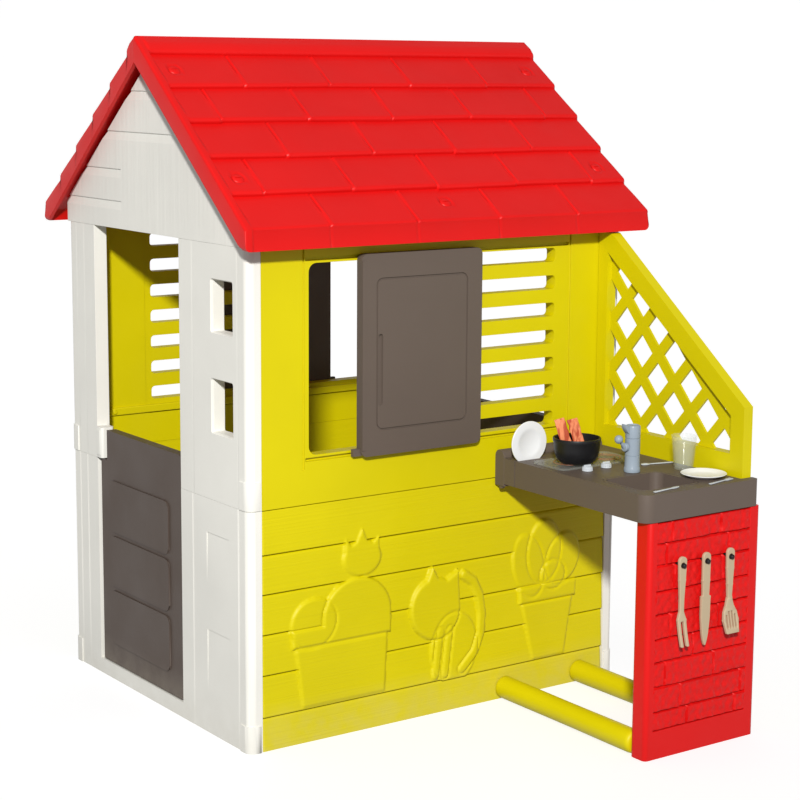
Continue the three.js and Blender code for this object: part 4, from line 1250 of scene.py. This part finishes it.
def cutlery(spot, turn, kind):
    """Small cutlery: a slim handle with a fork's tines, a knife's blade or a spoon's bowl."""
    bowl = [(24 + 1.55 * u, v) for u, v in arc((0, 0), 6, -150, 0)]
    end = {"fork": [(18, -4.2), (33, -4.4), (34, -3.6)], "spoon": bowl,
           "knife": [(16, -2.6), (20, -3.3), (29, -2.8), (32.4, -1.6), (33.8, -0.4)]}[kind]
    side = [(-34, -2.6), (-20, -2.2), (8, -1.5), (14, -1.6)] + end
    outline = side + [(u, -v) for u, v in reversed(side)]
    outline = list(dict.fromkeys((round(u, 4), round(v, 4)) for u, v in outline))
    body = prism(outline, Z_AXIS, 0.2, 2.0)
    if kind == "fork":
        body = cut(body, *[box((22, 40), (v - 0.55, v + 0.55), (-1, 4)) for v in (-2.1, 0, 2.1)])
    elif kind == "spoon":
        dish = turned([(0, 1.2), (3, 1.4), (4.4, 3.5), (0, 3.5)], sides=24)
        body = cut(body, moved(dish, (24, 0, 0), Matrix.Diagonal((1.5, 1, 1, 1))))
    return moved(soft_edges(body, 0.4, 2), (*spot, ON_COUNTER), Matrix.Rotation(turn, 4, "Z"))


def make_crockery():
    stand_in("pot", "_turned", pot(), BLACK_POT)
    for number in (1, 2):
        node = "food_strip_%d" % number
        stand_in(node, "_shape", food_strip(node, number), FOOD)
    stand_in("tumbler", "_turned", tumbler(), CLEAR)
    stand_in("flat_plate", "_turned", flat_plate(), CHINA)
    stand_in("standing_plate", "_turned", standing_plate(), CHINA)
    for kind, spot, turn in (("fork", (740, -411), 0.2), ("knife", (612, -408), 0.14),
                             ("spoon", (752, -228), 2.9)):
        stand_in("table_" + kind, "_shape", cutlery(spot, turn, kind), SILVER)


# ---- Camera, floor and light ----

CAMERA = Sizes(offset=(-1.6977, -2.8885, 1.2208), direction=(0.57681, 0.80233, -0.15350),
               roll=0.47, lens=87.75, shift=(-0.0316, -0.0396))


def make_camera():
    data = bpy.data.cameras.new("camera")
    data.lens, data.sensor_width = CAMERA.lens, 36
    data.shift_x, data.shift_y = CAMERA.shift
    camera = linked("camera", data)
    forward = Vector(CAMERA.direction).normalized()
    right = forward.cross(Vector((0, 0, 1))).normalized()
    level = Matrix((right, right.cross(forward), -forward)).transposed().to_4x4()
    x, y, z = CAMERA.offset
    stand = Matrix.Translation((GABLE_FACE + x, WALL_FACE + y, z))
    camera.matrix_world = stand @ level @ Matrix.Rotation(math.radians(CAMERA.roll), 4, "Z")
    bpy.context.scene.camera = camera


FLOOR_FLAT, FLOOR_BEND, FLOOR_SIDES = 9, 4, 72
FLOOR_GLOW = 0.84


def make_floor():
    """A pale floor that curves up far away, so that no edge of it shows."""
    bend = np.linspace(0, math.pi / 2, 13)
    profile = [(FLOOR_FLAT + FLOOR_BEND * math.sin(a), FLOOR_BEND * (1 - math.cos(a))) for a in bend]
    bm = bmesh.new()
    stitch(bm, [circle(bm, radius, height, FLOOR_SIDES) for radius, height in [(0, 0)] + profile])
    bmesh.ops.reverse_faces(bm, faces=bm.faces)
    mesh = finished(bm)
    mesh.shade_smooth()
    floor = linked("studio_floor", mesh)
    n = Nodes("pale_floor")
    n.feed(n.shader, {"Base Color": (0.5, 0.5, 0.5, 1), "Roughness": 0.8, "Specular IOR Level": 0.1,
                      "Emission Color": (1, 1, 1, 1), "Emission Strength": FLOOR_GLOW})
    n.material.cycles.emission_sampling = "NONE"
    mesh.materials.append(n.material)
    floor.visible_diffuse = False
    return floor


KEY_FROM = Vector((-0.75, -1, 0.6)).normalized()  # the way to the key light
KEY_POWER, SURROUND = 600, 0.33  # watts, and the surround's strength


def make_light(floor):
    """A key light for the object alone, and an even pale surround."""
    data = bpy.data.lights.new("key", "AREA")
    data.shape, data.size = "DISK", 0.45
    data.energy, data.color = KEY_POWER, (1, 0.985, 0.96)
    key = linked("key", data)
    key.location = Vector((0.05, -0.1, 0.55)) + 7 * KEY_FROM
    key.rotation_mode = "QUATERNION"
    key.rotation_quaternion = (-KEY_FROM).to_track_quat("-Z", "Y")
    unlit = bpy.data.collections.new("not_lit_by_the_key")
    unlit.objects.link(floor)
    unlit.collection_objects[0].light_linking.link_state = "EXCLUDE"
    key.light_linking.receiver_collection = unlit
    world = bpy.data.worlds.new("studio")
    world.use_nodes = True
    background = world.node_tree.nodes["Background"]
    background.inputs["Color"].default_value = (1, 1, 1, 1)
    background.inputs["Strength"].default_value = SURROUND
    bpy.context.scene.world = world
    bpy.context.scene.view_settings.view_transform = "Standard"


make_camera()
make_light(make_floor())
make_roof()
make_walls()
make_gables()
make_kitchen()
make_crockery()
